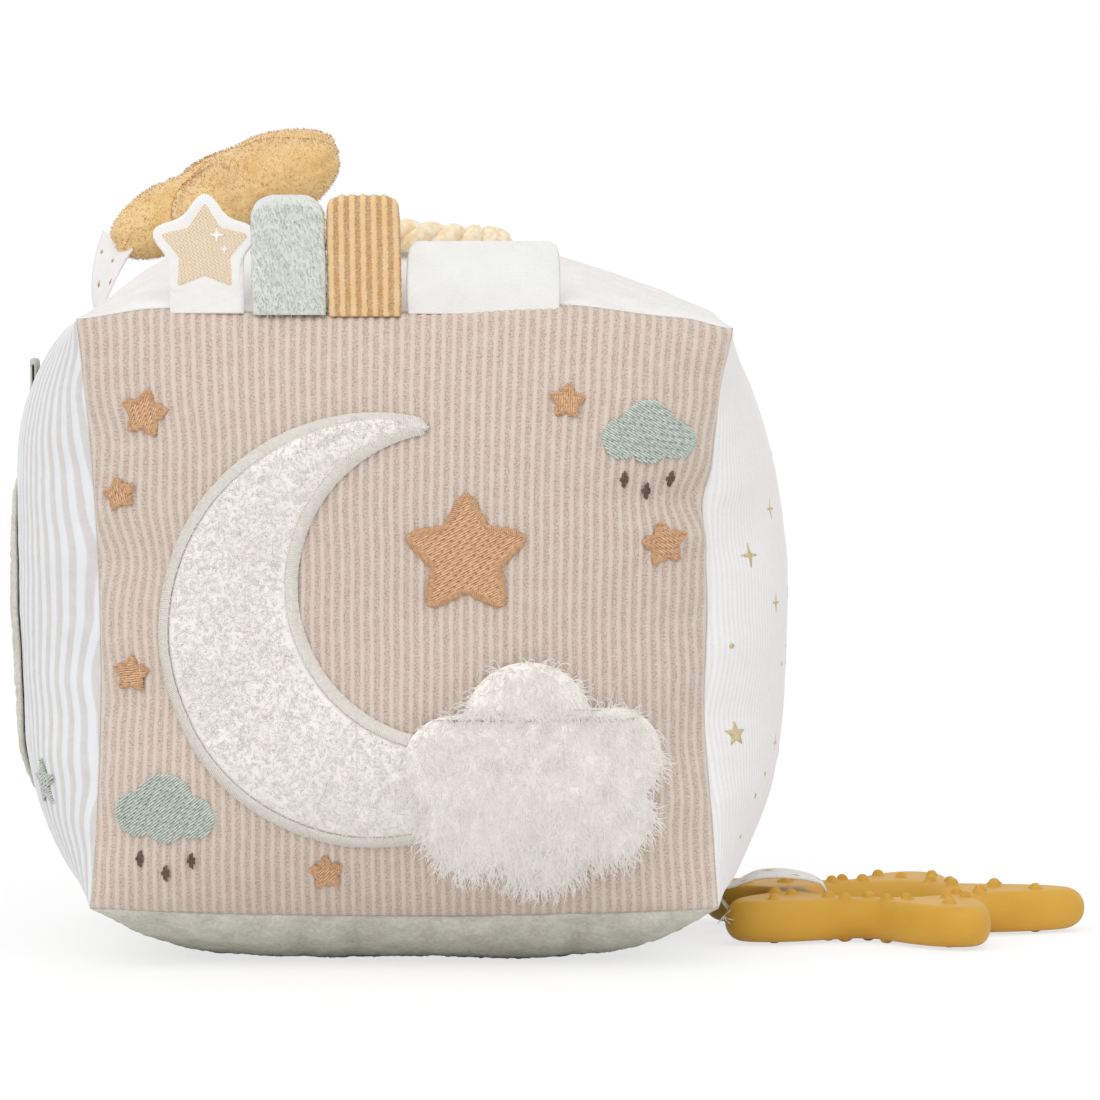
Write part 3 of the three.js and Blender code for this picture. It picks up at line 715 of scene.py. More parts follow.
@dataclass(frozen=True)
class SmoothRubber(TwoTone):
    """Silicone or smooth plastic."""

    inner_glow: float = 0.0

    def settings(self) -> dict[str, object]:
        """Returns the shader's plain values."""
        return {"Roughness": self.roughness, "Specular IOR Level": 0.25, "Subsurface Weight": self.inner_glow,
                "Subsurface Radius": (1.0, 0.6, 0.3), "Subsurface Scale": 2.0 * MM}

    def surface(self, graph: Graph) -> tuple[object, Socket | None]:
        """Returns the colour with a fine moulded grain."""
        place = graph.object_place()
        return self.tone(graph, place, 14 * MM), graph.noise(place, 900.0)


@dataclass(frozen=True)
class MirrorFoil(Finish):
    """Polished mirror film."""

    tint: Colour = WHITE

    def settings(self) -> dict[str, object]:
        """Returns the shader's plain values."""
        return {"Roughness": self.roughness, "Metallic": 1.0}

    def surface(self, graph: Graph) -> tuple[object, Socket | None]:
        """Returns the tint with the film's slight ripple."""
        return self.tint, graph.noise(graph.object_place(), 60.0)


# In each ribbed finish the first colour is the rib with its painted highlight and the second the ground with painted
# shade in the grooves; the striped cotton's pair is also its own stripe.
BEIGE_CORDUROY = RibbedCloth("beige_corduroy", 0.95, 0.2, 0.16, srgb(216, 199, 186), srgb(211, 193, 178), 2.1,
                             0.44, 2.6)
CARAMEL_CORDUROY = RibbedCloth("caramel_corduroy", 0.95, 0.2, 0.2, srgb(234, 197, 146), srgb(212, 168, 114), 2.14,
                               0.5, 2.6)
WHITE_RIB = RibbedCloth("white_rib", 0.92, 0.1, 0.08, srgb(241, 240, 239), srgb(236, 235, 234), 1.05, 0.5)
STRIPED_COTTON = RibbedCloth("striped_cotton", 0.92, 0.1, 0.1, srgb(229, 231, 234), srgb(214, 211, 208), 3.2, 0.52)
TOP_COTTON = WovenCloth("top_cotton", 0.92, 0.1, 0.05, srgb(245, 244, 241), srgb(240, 238, 235), 0.5)
# In each PlushCloth the first colour is the raised tufts' colour and the second the painted shade in the hollows
# between them.
SAGE_PLUSH = PlushCloth("sage_plush", 0.92, 0.3, 0.4, srgb(222, 221, 207), srgb(192, 190, 173), 0.9)
SAGE_STRANDS = Fibre("sage_strands", 0.85, 0.2, 0.0, srgb(241, 244, 236), srgb(232, 236, 227), 5.0, 0.5)
SAGE_RIBBON = WovenCloth("sage_ribbon", 0.8, 0.2, 0.05, srgb(204, 207, 195), srgb(190, 194, 181), 0.4)
CREAM_FLEECE = PlushCloth("cream_fleece", 0.95, 0.2, 0.3, srgb(252, 249, 245), srgb(242, 238, 232), 1.4)
CREAM_STRANDS = Fibre("cream_strands", 0.9, 0.1, 0.0, srgb(254, 253, 250), srgb(251, 249, 245), 2.5, 0.5)
PILE_STRANDS = Fibre("pile_strands", 0.9, 0.1, 0.0, srgb(255, 254, 252), srgb(253, 251, 248), 3.0, 0.6)
CREAM_THREAD = Fibre("cream_thread", 0.5, 0.1, 0.0, srgb(250, 247, 240), srgb(242, 236, 226), 0.8, 0.2)
TAN_THREAD = Fibre("tan_thread", 0.45, 0.2, 0.0, srgb(230, 188, 146), srgb(206, 160, 120), 0.7)
SAGE_THREAD = Fibre("sage_thread", 0.4, 0.2, 0.0, srgb(208, 216, 208), srgb(176, 186, 175), 0.7)
BROWN_THREAD = Fibre("brown_thread", 0.5, 0.2, 0.0, srgb(112, 84, 70), srgb(88, 64, 52), 0.7)
WHITE_WEAVE = WovenCloth("white_weave", 0.7, 0.1, 0.05, srgb(252, 251, 249), srgb(247, 246, 243), 0.32)
PEACH_WEAVE = WovenCloth("peach_weave", 0.8, 0.1, 0.16, srgb(248, 227, 198), srgb(245, 222, 191), 0.55, 35.0)
LABEL_WEAVE = WovenCloth("label_weave", 0.6, 0.1, 0.04, srgb(248, 248, 246), srgb(243, 243, 241), 0.3)
GOLD_PRINT = Fibre("gold_print", 0.55, 0.0, 0.0, srgb(216, 199, 160), srgb(196, 176, 132), 1.2)
BROWN_PRINT = Fibre("brown_print", 0.6, 0.0, 0.0, srgb(201, 171, 134), srgb(178, 142, 104), 1.2)
WHITE_PRINT = Fibre("white_print", 0.6, 0.0, 0.0, srgb(252, 250, 246), srgb(246, 243, 238), 1.2)
YELLOW_COTTON = Fibre("yellow_cotton", 0.85, 0.2, 0.0, srgb(252, 240, 216), srgb(242, 216, 172), 1.4)
OCHRE_VELOUR = PlushCloth("ochre_velour", 0.9, 0.4, 0.25, srgb(240, 208, 150), srgb(222, 182, 119), 1.1)
OCHRE_STRANDS = Fibre("ochre_strands", 0.85, 0.2, 0.0, srgb(252, 230, 184), srgb(228, 184, 114), 12.0, 0.65)
OCHRE_SILICONE = SmoothRubber("ochre_silicone", 0.5, 0.0, 0.02, srgb(216, 168, 66), srgb(210, 160, 60), 0.1)
MIRROR_FOIL = MirrorFoil("mirror_foil", 0.05, 0.0, 0.05, srgb(222, 224, 226))
BROWN_EDGE_THREAD = Fibre("brown_edge_thread", 0.45, 0.2, 0.0, srgb(214, 168, 126), srgb(190, 144, 106), 0.7)
SAGE_TAG_PLUSH = PlushCloth("sage_tag_plush", 0.92, 0.3, 0.2, srgb(229, 232, 226), srgb(219, 222, 216), 0.8)
GREY_THREAD = Fibre("grey_thread", 0.7, 0.1, 0.0, srgb(190, 190, 184), srgb(160, 160, 156), 0.8)
FILLING_FIBRE = Fibre("filling_fibre", 1.0, 0.3, 0.0, srgb(245, 245, 243), srgb(232, 232, 230), 4.0)
WHITE_PLASTIC = SmoothRubber("white_plastic", 0.35, 0.0, 0.01, srgb(240, 240, 236), srgb(236, 236, 232))
CLEAR_FILM = SmoothRubber("clear_film", 0.25, 0.0, 0.02, srgb(230, 232, 234), srgb(224, 226, 229))


def dress(piece: Piece, finish: Finish) -> Piece:
    """Gives a piece one finish."""
    piece.data.materials.clear()
    piece.data.materials.append(finish.material())
    return piece


class Growth:
    """Geometry-node trees that turn lines into threads and cover surfaces with pile."""

    @staticmethod
    @cache
    def threads() -> Tree:
        """Turns the edges of a mesh into round threads."""
        kind = SocketKind
        graph, given = new_group(
            "threads_from_lines", "GeometryNodeTree",
            {"Geometry": kind.SHAPE, "Radius": kind.NUMBER, "Sides": kind.WHOLE, "Material": kind.MATERIAL},
            {"Geometry": kind.SHAPE})
        lines = graph.first("GeometryNodeMeshToCurve", {"Mesh": given["Geometry"]})
        ring = graph.first("GeometryNodeCurvePrimitiveCircle", {
            "Resolution": given["Sides"], "Radius": given["Radius"]}, mode="RADIUS")
        solid = graph.first("GeometryNodeCurveToMesh", {"Curve": lines, "Profile Curve": ring, "Fill Caps": True})
        whole = graph.first("GeometryNodeRealizeInstances", {"Geometry": solid})
        return graph.give(Geometry=graph.first("GeometryNodeSetMaterial", {
            "Geometry": whole, "Material": given["Material"]}))

    @staticmethod
    @cache
    def pile() -> Tree:
        """Covers the faces of a mesh with bent, tapering strands."""
        kind = SocketKind
        graph, given = new_group(
            "pile_on_faces", "GeometryNodeTree",
            {"Geometry": kind.SHAPE, "Density": kind.NUMBER, "Seed": kind.WHOLE, "Length": kind.NUMBER,
             "Radius": kind.NUMBER, "Bend": kind.NUMBER, "Lean": kind.VECTOR, "Tousle": kind.NUMBER,
             "Material": kind.MATERIAL},
            {"Geometry": kind.SHAPE})
        spots = graph.add("GeometryNodeDistributePointsOnFaces", {
            "Mesh": given["Geometry"], "Density": given["Density"], "Seed": given["Seed"]},
            distribute_method="RANDOM").outputs
        length = given["Length"]
        middle = graph.first("ShaderNodeCombineXYZ", {
            0: graph.times(given["Bend"], length), 2: graph.times(length, 0.55)})
        end = graph.first("ShaderNodeCombineXYZ", {
            0: graph.times(given["Bend"], graph.times(length, 0.2)), 2: length})
        spine = graph.first("GeometryNodeCurveQuadraticBezier", {
            "Resolution": 3, "Start": (0.0, 0.0, 0.0), "Middle": middle, "End": end})
        factor = graph.add("GeometryNodeSplineParameter").outputs["Factor"]
        taper = graph.math("SUBTRACT", 1.0, graph.times(factor, 0.72))
        ring = graph.first("GeometryNodeCurvePrimitiveCircle", {"Resolution": 3, "Radius": 1.0}, mode="RADIUS")
        solid = graph.first("GeometryNodeCurveToMesh", {
            "Curve": spine, "Profile Curve": ring, "Scale": graph.times(taper, given["Radius"]), "Fill Caps": True})
        jitter = graph.first("FunctionNodeRandomValue", {
            "Min": (-1.0, -1.0, -1.0), "Max": (1.0, 1.0, 1.0), "Seed": 3}, data_type="FLOAT_VECTOR")
        ruffled = graph.first("ShaderNodeVectorMath", {0: jitter, 3: given["Tousle"]}, operation="SCALE")
        leaning = graph.first("ShaderNodeVectorMath", {0: spots["Normal"], 1: given["Lean"]}, operation="ADD")
        way = graph.first("ShaderNodeVectorMath", {0: leaning, 1: ruffled}, operation="ADD")
        twist = graph.first("FunctionNodeRandomValue", {
            "Min": (0.0, 0.0, 0.0), "Max": (0.0, 0.0, 2 * math.pi), "Seed": 5}, data_type="FLOAT_VECTOR")
        turned = graph.first("FunctionNodeEulerToRotation", {0: twist})
        aligned = graph.first("FunctionNodeAlignRotationToVector", {"Vector": way}, axis="Z")
        both = graph.first("FunctionNodeRotateRotation", {0: aligned, 1: turned}, rotation_space="LOCAL")
        size = graph.add("FunctionNodeRandomValue", {2: 0.6, 3: 1.15, "Seed": 7}, data_type="FLOAT").outputs[1]
        strands = graph.first("GeometryNodeInstanceOnPoints", {
            "Points": spots["Points"], "Instance": solid, "Rotation": both, "Scale": size})
        whole = graph.first("GeometryNodeRealizeInstances", {"Geometry": strands})
        smooth = graph.first("GeometryNodeSetShadeSmooth", {"Geometry": whole})
        return graph.give(Geometry=graph.first("GeometryNodeSetMaterial", {
            "Geometry": smooth, "Material": given["Material"]}))

    @staticmethod
    def grow(name: str, base: Piece, tree: Tree, values: dict) -> Piece:
        """Runs a tree on a base object and keeps the plain mesh that it gives.

        Args:
            name: name of the new piece.
            base: object that carries the tree's input mesh, removed afterwards.
            tree: the geometry-node tree.
            values: value of each named input.

        Returns:
            The new piece.
        """
        modifier = base.modifiers.new(tree.name, "NODES")
        modifier.node_group = tree
        for item in tree.interface.items_tree:
            if item.item_type == "SOCKET" and item.in_out == "INPUT" and item.name in values:
                modifier[item.identifier] = values[item.name]
        depsgraph = bpy.context.evaluated_depsgraph_get()
        mesh = bpy.data.meshes.new_from_object(base.evaluated_get(depsgraph), depsgraph=depsgraph)
        mesh.name = name
        base.modifiers.remove(modifier)
        bpy.data.objects.remove(base)
        return shown(name, mesh)


def stitched(name: str, lines: Array, radius: float, finish: Finish) -> Piece:
    """Makes threads along short lines.

    Args:
        name: name of the piece.
        lines: for each stitch, its row of points.
        radius: radius of the thread.
        finish: finish of the thread.

    Returns:
        The new piece.
    """
    count, steps = lines.shape[:2]
    mesh = bpy.data.meshes.new(name + "_lines")
    first = np.arange(count)[:, None] * steps + np.arange(steps - 1)
    edges = joined(first, first + 1).reshape(-1, 2)
    mesh.from_pydata((lines.reshape(-1, 3) * MM).tolist(), edges.tolist(), [])
    return Growth.grow(name, shown(name + "_lines", mesh), Growth.threads(), {
        "Radius": radius * MM, "Sides": 5, "Material": finish.material()})


@dataclass(frozen=True)
class Pile:
    """How a pile cloth's strands stand: how many to a square millimetre, how long, thick, bent and ruffled."""

    density: float
    length: float
    radius: float
    bend: float
    lean: tuple[float, float, float]
    tousle: float
    seed: int = 1

    def on(self, name: str, points: Array, faces: list[Array], finish: Finish) -> Piece:
        """Grows the strands on a surface.

        Args:
            name: name of the new piece.
            points: points of the surface.
            faces: faces of the surface.
            finish: finish of the strands.

        Returns:
            The strands as one piece.
        """
        base = mesh_piece(name + "_base", points, faces)
        return Growth.grow(name, base, Growth.pile(), {
            "Density": self.density / MM ** 2, "Seed": self.seed, "Length": self.length * MM,
            "Radius": self.radius * MM, "Bend": self.bend, "Lean": self.lean, "Tousle": self.tousle,
            "Material": finish.material()})


class Edge(Enum):
    """The edges of a panel."""

    LEFT = (0, -1)
    RIGHT = (0, 1)
    LOW = (1, -1)
    HIGH = (1, 1)


@dataclass(frozen=True)
class Pucker:
    """A soft fold that starts at a seam: where along the edge, how wide, how far in and how high."""

    edge: Edge
    place: float
    width: float
    reach: float
    height: float


@dataclass(frozen=True)
class Side:
    """One side of the cube: its direction out, its direction along, its crown and how full that is to each edge."""

    out: tuple[float, float, float]
    along: tuple[float, float, float]
    crown: float
    fullness: tuple[float, float, float, float]

    @property
    def up(self) -> Array:
        """The direction that the second panel coordinate runs in."""
        return np.cross(self.out, self.along)


@dataclass(frozen=True)
class CubeForm:
    """The sewn shape of the cube."""

    width_top: float = 132.0
    width_bottom: float = 127.0
    depth: float = 130.0
    height: float = 119.0
    bottom: float = 12.0
    draw_in: float = 3.2
    top_lift: float = 2.4
    bottom_lift: float = 1.6
    front_shift: float = 1.2
    wave_places: tuple[float, ...] = (-1.0, -0.76, -0.35, 0.05, 0.5, 0.84, 1.0)
    wave_lifts: tuple[float, ...] = (0.3, 1.4, -0.4, -0.6, 1.4, -0.1, -1.6)
    right_places: tuple[float, ...] = (-1.0, -0.8, -0.3, 0.0, 0.22, 0.38, 0.52, 0.75, 1.0)
    right_shifts: tuple[float, ...] = (0.3, 0.4, -0.5, 0.1, -0.6, -2.0, -0.6, -0.4, 0.6)

    @property
    def centre(self) -> Array:
        """Middle of the seam frame."""
        return np.array([0.0, 0.0, self.bottom + self.height / 2])

    def seam_point(self, cube: Array) -> Array:
        """Point of the seam frame.

        Args:
            cube: places that run from -1 to 1 each way.

        Returns:
            The points.
        """
        x, y, z = cube[..., 0], cube[..., 1], cube[..., 2]
        half = (self.width_bottom + (self.width_top - self.width_bottom) * (z + 1) / 2) / 2
        pinch = self.draw_in * (1 - z ** 2)
        lift = np.where(z > 0, self.top_lift, self.bottom_lift) * (1 - x ** 2)
        front = (1 - y) / 2
        shift = self.front_shift * front
        shift = shift + eased(z, self.right_places, self.right_shifts) * np.clip(x, 0, 1) ** 4 * front ** 4
        wave = eased(x, self.wave_places, self.wave_lifts) * np.clip(z, 0, 1) ** 3 * front ** 3
        return np.stack([
            x * (half - pinch) + shift,
            y * (self.depth / 2 - pinch),
            self.centre[2] + z * (self.height / 2 + lift) + wave,
        ], axis=-1)

    def skin(self, side: Side, u: Array, v: Array) -> Array:
        """Points of a panel's plain crowned surface.

        Args:
            side: the side of the cube.
            u: places along the side, from -1 to 1.
            v: places up the side, from -1 to 1.

        Returns:
            The points.
        """
        left, right, low, high = side.fullness
        full_u = 1 - np.abs(u) ** np.where(u < 0, left, right)
        full_v = 1 - np.abs(v) ** np.where(v < 0, low, high)
        out = np.asarray(side.out, float)
        cube = out + np.asarray(side.along, float) * u[..., None] + side.up * v[..., None]
        points = self.seam_point(cube) + out * (side.crown * full_u * full_v)[..., None]
        points[..., 2] = np.maximum(points[..., 2], 0.0)
        return points


FORM = CubeForm()
FRONT = Side((0, -1, 0), (1, 0, 0), 17.0, (4, 4, 4, 4))
BACK = Side((0, 1, 0), (-1, 0, 0), 17.0, (4, 4, 4, 4))
RIGHT = Side((1, 0, 0), (0, 1, 0), 17.9, (4, 4, 3.2, 2.1))
LEFT = Side((-1, 0, 0), (0, -1, 0), 18.6, (4, 4, 3.6, 4.5))
TOP = Side((0, 0, 1), (1, 0, 0), 18.1, (3.3, 1.26, 2.2, 2.2))
BOTTOM = Side((0, 0, -1), (1, 0, 0), 10.9, (6, 6, 6, 6))


@dataclass
class Panel:
    """One sewn panel: the CAD panel that it replaces, its side, its cloth, its ribs, its puckers and its dent."""

    name: str
    node: str
    side: Side
    finish: Finish
    slot: str
    half_width: float
    half_height: float
    columns: int
    rows: int
    rib_pitch: float = 0.0
    rib_height: float = 0.0
    rib_power: float = 1.0
    waver: float = 0.0
    tuft_height: float = 0.0
    swell: float = 0.5
    calm_margin: float = 12.0
    seam_depth: float = 0.9
    seam_allowance: float = 7.0
    thickness: float = 1.2
    seed: int = 1
    puckers: tuple[Pucker, ...] = ()
    stride: int = 8
    dent: float = 0.0
    dent_radius: float = 18.8
    dent_forward: float = 20.0
    dent_width: float = 5.5

    def from_seam(self, u: Array, v: Array) -> Array:
        """Distance to the nearest seam."""
        return np.minimum((1 - np.abs(u)) * self.half_width, (1 - np.abs(v)) * self.half_height)

    def folds(self, u: Array, v: Array) -> Array:
        """Height of the puckers, the slow swell of the cloth and the dent under the cord.

        Args:
            u: places along the panel, from -1 to 1.
            v: places up the panel, from -1 to 1.

        Returns:
            The height at each place.
        """
        inner = np.clip(self.from_seam(u, v) / self.calm_margin, 0, 1)
        slow = smooth_noise(u * 2.6 + 9, v * 2.6 + 5, self.seed) + 0.5 * smooth_noise(u * 6 + 3, v * 6, self.seed + 1)
        height = self.swell * slow * inner
        if self.dent:
            forward = v * self.half_height + self.dent_forward
            away = np.hypot(u * self.half_width, forward) - self.dent_radius
            behind = np.clip(forward / self.dent_radius, -1, 1)
            height = height - self.dent * (1 + 0.35 * behind) * np.exp(-(away / self.dent_width) ** 2)
        for pucker in self.puckers:
            axis, end = pucker.edge.value
            from_edge = (1 - end * (u, v)[axis]) * (self.half_width, self.half_height)[axis]
            beside = ((v, u)[axis] - pucker.place) * (self.half_height, self.half_width)[axis]
            fade = np.exp(-from_edge / pucker.reach) * (1 - np.exp(-from_edge / 1.6))
            height = height + pucker.height * fade * np.exp(-(beside / pucker.width) ** 2)
        return height

    def cloth(self, u: Array, v: Array) -> tuple[Array, Array]:
        """Cloth coordinates in millimetres, with the ribs' waver.

        Args:
            u: places along the panel, from -1 to 1.
            v: places up the panel, from -1 to 1.

        Returns:
            The two coordinates of each place.
        """
        x = u * self.half_width
        y = v * self.half_height
        if self.waver:
            sway = smooth_noise(x / 46 + 7, y / 11 + 2, self.seed + 5) * (0.12 + u ** 4)
            sway = sway + 0.1 * smooth_noise(x / 20, y / 7, self.seed + 6)
            x = x + self.waver * sway
        return x, y

    def relief(self, u: Array, v: Array) -> Array:
        """Height of everything finer than the crown.

        Args:
            u: places along the panel, from -1 to 1.
            v: places up the panel, from -1 to 1.

        Returns:
            The height at each place.
        """
        height = self.folds(u, v)
        x, y = self.cloth(u, v)
        if self.rib_height:
            wave = (0.5 + 0.5 * np.cos(2 * math.pi * x / self.rib_pitch)) ** self.rib_power
            height = height + self.rib_height * (wave - 0.5)
            height = height + self.rib_height * 0.18 * smooth_noise(x / 0.5, y / 0.8, self.seed + 8)
        if self.tuft_height:
            height = height + self.tuft_height * smooth_noise(x / 1.1, y / 1.5, self.seed + 9)
            height = height + 0.5 * self.tuft_height * smooth_noise(x / 0.55, y / 0.7, self.seed + 10)
        return height

    def surface(self, u: Array, v: Array, lift: Array, fine: bool = True) -> Array:
        """Points on the panel.

        Args:
            u: places along the panel, from -1 to 1.
            v: places up the panel, from -1 to 1.
            lift: distance off the surface.
            fine: whether the whole relief is followed, or only the folds.

        Returns:
            The points.
        """
        step = 0.002
        middle = FORM.skin(self.side, u, v)
        along = FORM.skin(self.side, np.clip(u + step, -1, 1), v) - FORM.skin(self.side, np.clip(u - step, -1, 1), v)
        up = FORM.skin(self.side, u, np.clip(v + step, -1, 1)) - FORM.skin(self.side, u, np.clip(v - step, -1, 1))
        normal = unit(np.cross(along, up))
        nearest = self.from_seam(u, v)
        height = (self.relief(u, v) if fine else self.folds(u, v)) * (1 - np.exp(-nearest / 0.9))
        drawn = self.seam_depth * np.exp(-nearest / 1.2)
        points = middle + normal * (height + lift)[..., None] + unit(FORM.centre - middle) * drawn[..., None]
        points[..., 2] = np.maximum(points[..., 2], 0.02)
        return points

    def place(self, side: Array, height: Array, lift: Array, fine: bool = False) -> Array:
        """Points on the panel straight behind a side place and a height.

        Args:
            side: coordinates along the panel's own direction.
            height: heights over the floor.
            lift: distances off the surface.
            fine: whether the ribs are followed.

        Returns:
            The points.
        """
        along = np.asarray(self.side.along, float)
        rise = height - FORM.centre[2]
        u = side / self.half_width
        v = rise / self.half_height
        for _ in range(6):
            now = FORM.skin(self.side, u, v)
            u = np.clip(u + (side - now @ along) / self.half_width, -0.999, 0.999)
            v = np.clip(v + (rise - (now - FORM.centre) @ self.side.up) / self.half_height, -0.999, 0.999)
        return self.surface(u, v, lift, fine)

    def build(self) -> None:
        """Makes the panel's cover, with grid places closer together near the level seams."""
        even = np.linspace(-1, 1, self.rows + 1)
        u, v = np.meshgrid(np.linspace(-1, 1, self.columns + 1), 0.72 * even + 0.28 * np.sin(even * math.pi / 2))
        outer = self.surface(u, v, np.zeros_like(u))
        cloth = np.stack(self.cloth(u, v), axis=-1)
        cover = fitted(backed_sheet(self.name, outer, self.thickness, self.stride, cloth), "cube", self.slot,
                       self.finish)
        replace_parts(cover, self.node)


def puckers(rows: dict[Edge, tuple[tuple[float, float, float, float], ...]]) -> tuple[Pucker, ...]:
    """Returns puckers from rows of place, width, reach and height for each edge."""
    return tuple(Pucker(edge, *row) for edge, shapes in rows.items() for row in shapes)


FRONT_PUCKERS = puckers({
    Edge.RIGHT: ((0.4, 4.0, 14.0, -2.6), (0.28, 3.2, 10.0, 1.6), (0.56, 4.5, 13.0, 1.4), (0.8, 4.0, 10.0, -1.0),
        (-0.02, 4.5, 12.0, -1.2), (-0.2, 4.0, 11.0, 0.9), (-0.42, 4.5, 12.0, -1.3), (-0.64, 4.0, 12.0, 0.9),
        (-0.82, 4.0, 9.0, -0.8)),
    Edge.LEFT: ((0.62, 4.0, 10.0, -0.9), (0.36, 4.5, 13.0, 0.9), (0.18, 4.0, 12.0, -1.2),
        (-0.08, 4.5, 11.0, 0.8), (-0.3, 4.0, 12.0, -1.1), (-0.56, 5.0, 13.0, 0.9), (-0.76, 4.0, 10.0, -1.0)),
    Edge.LOW: ((-0.72, 5.0, 9.0, 0.9), (-0.42, 5.0, 8.0, -0.8), (0.1, 6.0, 8.0, 0.6), (0.5, 5.0, 9.0, -0.8),
        (0.76, 5.0, 9.0, 0.8)),
    Edge.HIGH: ((-0.86, 4.0, 8.0, 0.7), (-0.2, 6.0, 7.0, -0.5), (0.36, 6.0, 8.0, 0.6), (0.86, 4.0, 9.0, -0.9)),
})
SIDE_PUCKERS = puckers({
    Edge.LEFT: ((0.42, 4.0, 14.0, 2.0), (0.24, 4.0, 12.0, -1.6), (-0.1, 4.5, 12.0, 1.1),
        (-0.35, 4.0, 11.0, -1.0), (-0.62, 4.0, 12.0, 1.0), (0.74, 4.0, 10.0, -1.2)),
    Edge.RIGHT: ((0.5, 4.0, 12.0, -1.1), (0.2, 4.0, 12.0, 1.0), (-0.15, 4.5, 12.0, -1.2), (-0.5, 4.0, 11.0, 1.0),
        (-0.8, 4.0, 10.0, -0.9)),
    Edge.HIGH: ((-0.5, 5.0, 12.0, -1.2), (0.1, 5.0, 12.0, -1.2), (0.6, 5.0, 12.0, 1.0)),
    Edge.LOW: ((-0.6, 5.0, 9.0, 1.0), (0.0, 5.0, 9.0, -1.0), (0.55, 5.0, 9.0, 0.9)),
})
TOP_PUCKERS = puckers({
    Edge.LOW: ((-0.8, 4.0, 11.0, 1.2), (0.66, 5.0, 13.0, -1.3), (0.84, 4.0, 11.0, 1.0)),
    Edge.RIGHT: ((-0.7, 5.0, 12.0, -1.2), (-0.2, 5.0, 12.0, 0.9), (0.4, 5.0, 12.0, -1.0)),
    Edge.LEFT: ((-0.5, 5.0, 12.0, -1.0), (0.1, 5.0, 12.0, 0.9)),
    Edge.HIGH: ((-0.4, 5.0, 12.0, -1.0), (0.3, 5.0, 12.0, 1.0)),
})
BOTTOM_PUCKERS = puckers({
    Edge.HIGH: ((-0.32, 3.0, 9.0, -2.4), (-0.15, 3.0, 9.0, -2.2), (0.54, 3.0, 9.0, -2.4),
        (-0.76, 3.0, 9.0, -1.8), (0.2, 5.0, 9.0, 1.0), (0.8, 4.0, 8.0, 1.0)),
    Edge.LOW: ((-0.5, 4.0, 9.0, -1.2), (0.3, 4.0, 9.0, -1.2)),
    Edge.LEFT: ((0.0, 4.0, 9.0, -1.0),),
    Edge.RIGHT: ((0.2, 4.0, 9.0, -1.0),),
})


@dataclass
class CubeCover:
    """The six panels of the cube."""

    front: Panel = field(default_factory=lambda: Panel(
        "front_cover", "front_panel", FRONT, BEIGE_CORDUROY, "beige_corduroy", 66.0, 59.5, 504, 96, 2.1, 0.34, 0.8,
        1.2, puckers=FRONT_PUCKERS, seed=11))
    back: Panel = field(default_factory=lambda: Panel(
        "back_cover", "back_panel", BACK, BEIGE_CORDUROY, "beige_corduroy", 66.0, 59.5, 504, 80, 2.1, 0.34, 0.8, 1.2,
        puckers=SIDE_PUCKERS, seed=23))
    right: Panel = field(default_factory=lambda: Panel(
        "right_cover", "right_panel", RIGHT, WHITE_RIB, "white_cotton", 65.0, 59.5, 528, 80, 1.05, 0.09, 0.9, 1.0,
        puckers=SIDE_PUCKERS + puckers({Edge.HIGH: ((0.0, 45.0, 12.0, -2.6),)}), seed=37))
    left: Panel = field(default_factory=lambda: Panel(
        "left_cover", "left_panel", LEFT, STRIPED_COTTON, "striped_cotton", 65.0, 59.5, 504, 96, 3.2, 0.3, 0.9, 2.2,
        puckers=SIDE_PUCKERS, seed=41))
    top: Panel = field(default_factory=lambda: Panel(
        "top_cover", "top_panel", TOP, TOP_COTTON, "white_cotton", 66.0, 65.0, 160, 160, puckers=TOP_PUCKERS,
        seed=53, dent=3.0))
    bottom: Panel = field(default_factory=lambda: Panel(
        "bottom_cover", "bottom_panel", BOTTOM, SAGE_PLUSH, "sage_plush", 63.5, 65.0, 256, 256, tuft_height=0.22,
        puckers=BOTTOM_PUCKERS, seed=61))

    def build(self) -> None:
        """Makes the six covers."""
        for panel in (self.front, self.back, self.right, self.left, self.top, self.bottom):
            panel.build()


def fitted(piece: Piece, body: str, slot: str, finish: Finish | None = None) -> Piece:
    """Finishes a piece and ties it to its body.

    Args:
        piece: the piece, in place.
        body: name of the body that carries it.
        slot: the record's material slot; not used.
        finish: the piece's finish, if it has none yet.

    Returns:
        The piece.
    """
    if finish:
        dress(piece, finish)
    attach(piece, body)
    log.info("%s: %d faces", piece.name, len(piece.data.polygons))
    return piece


def along_outline(outline: Array, spacing: float) -> tuple[Array, Array]:
    """Evenly spaced points of a closed outline and the directions out of it.

    Args:
        outline: the outline's points, turning left.
        spacing: distance between the points.

    Returns:
        The points and the directions.
    """
    closed = np.concatenate([outline, outline[:1]])
    lengths = np.concatenate([[0], np.cumsum(np.linalg.norm(np.diff(closed, axis=0), axis=1))])
    count = max(8, int(lengths[-1] / spacing))
    places = np.arange(count) / count * lengths[-1]
    points = np.stack([np.interp(places, lengths, closed[:, 0]), np.interp(places, lengths, closed[:, 1])], axis=-1)
    ahead = unit(np.roll(points, -2, axis=0) - np.roll(points, 2, axis=0))
    return points, np.stack([ahead[:, 1], -ahead[:, 0]], axis=-1)


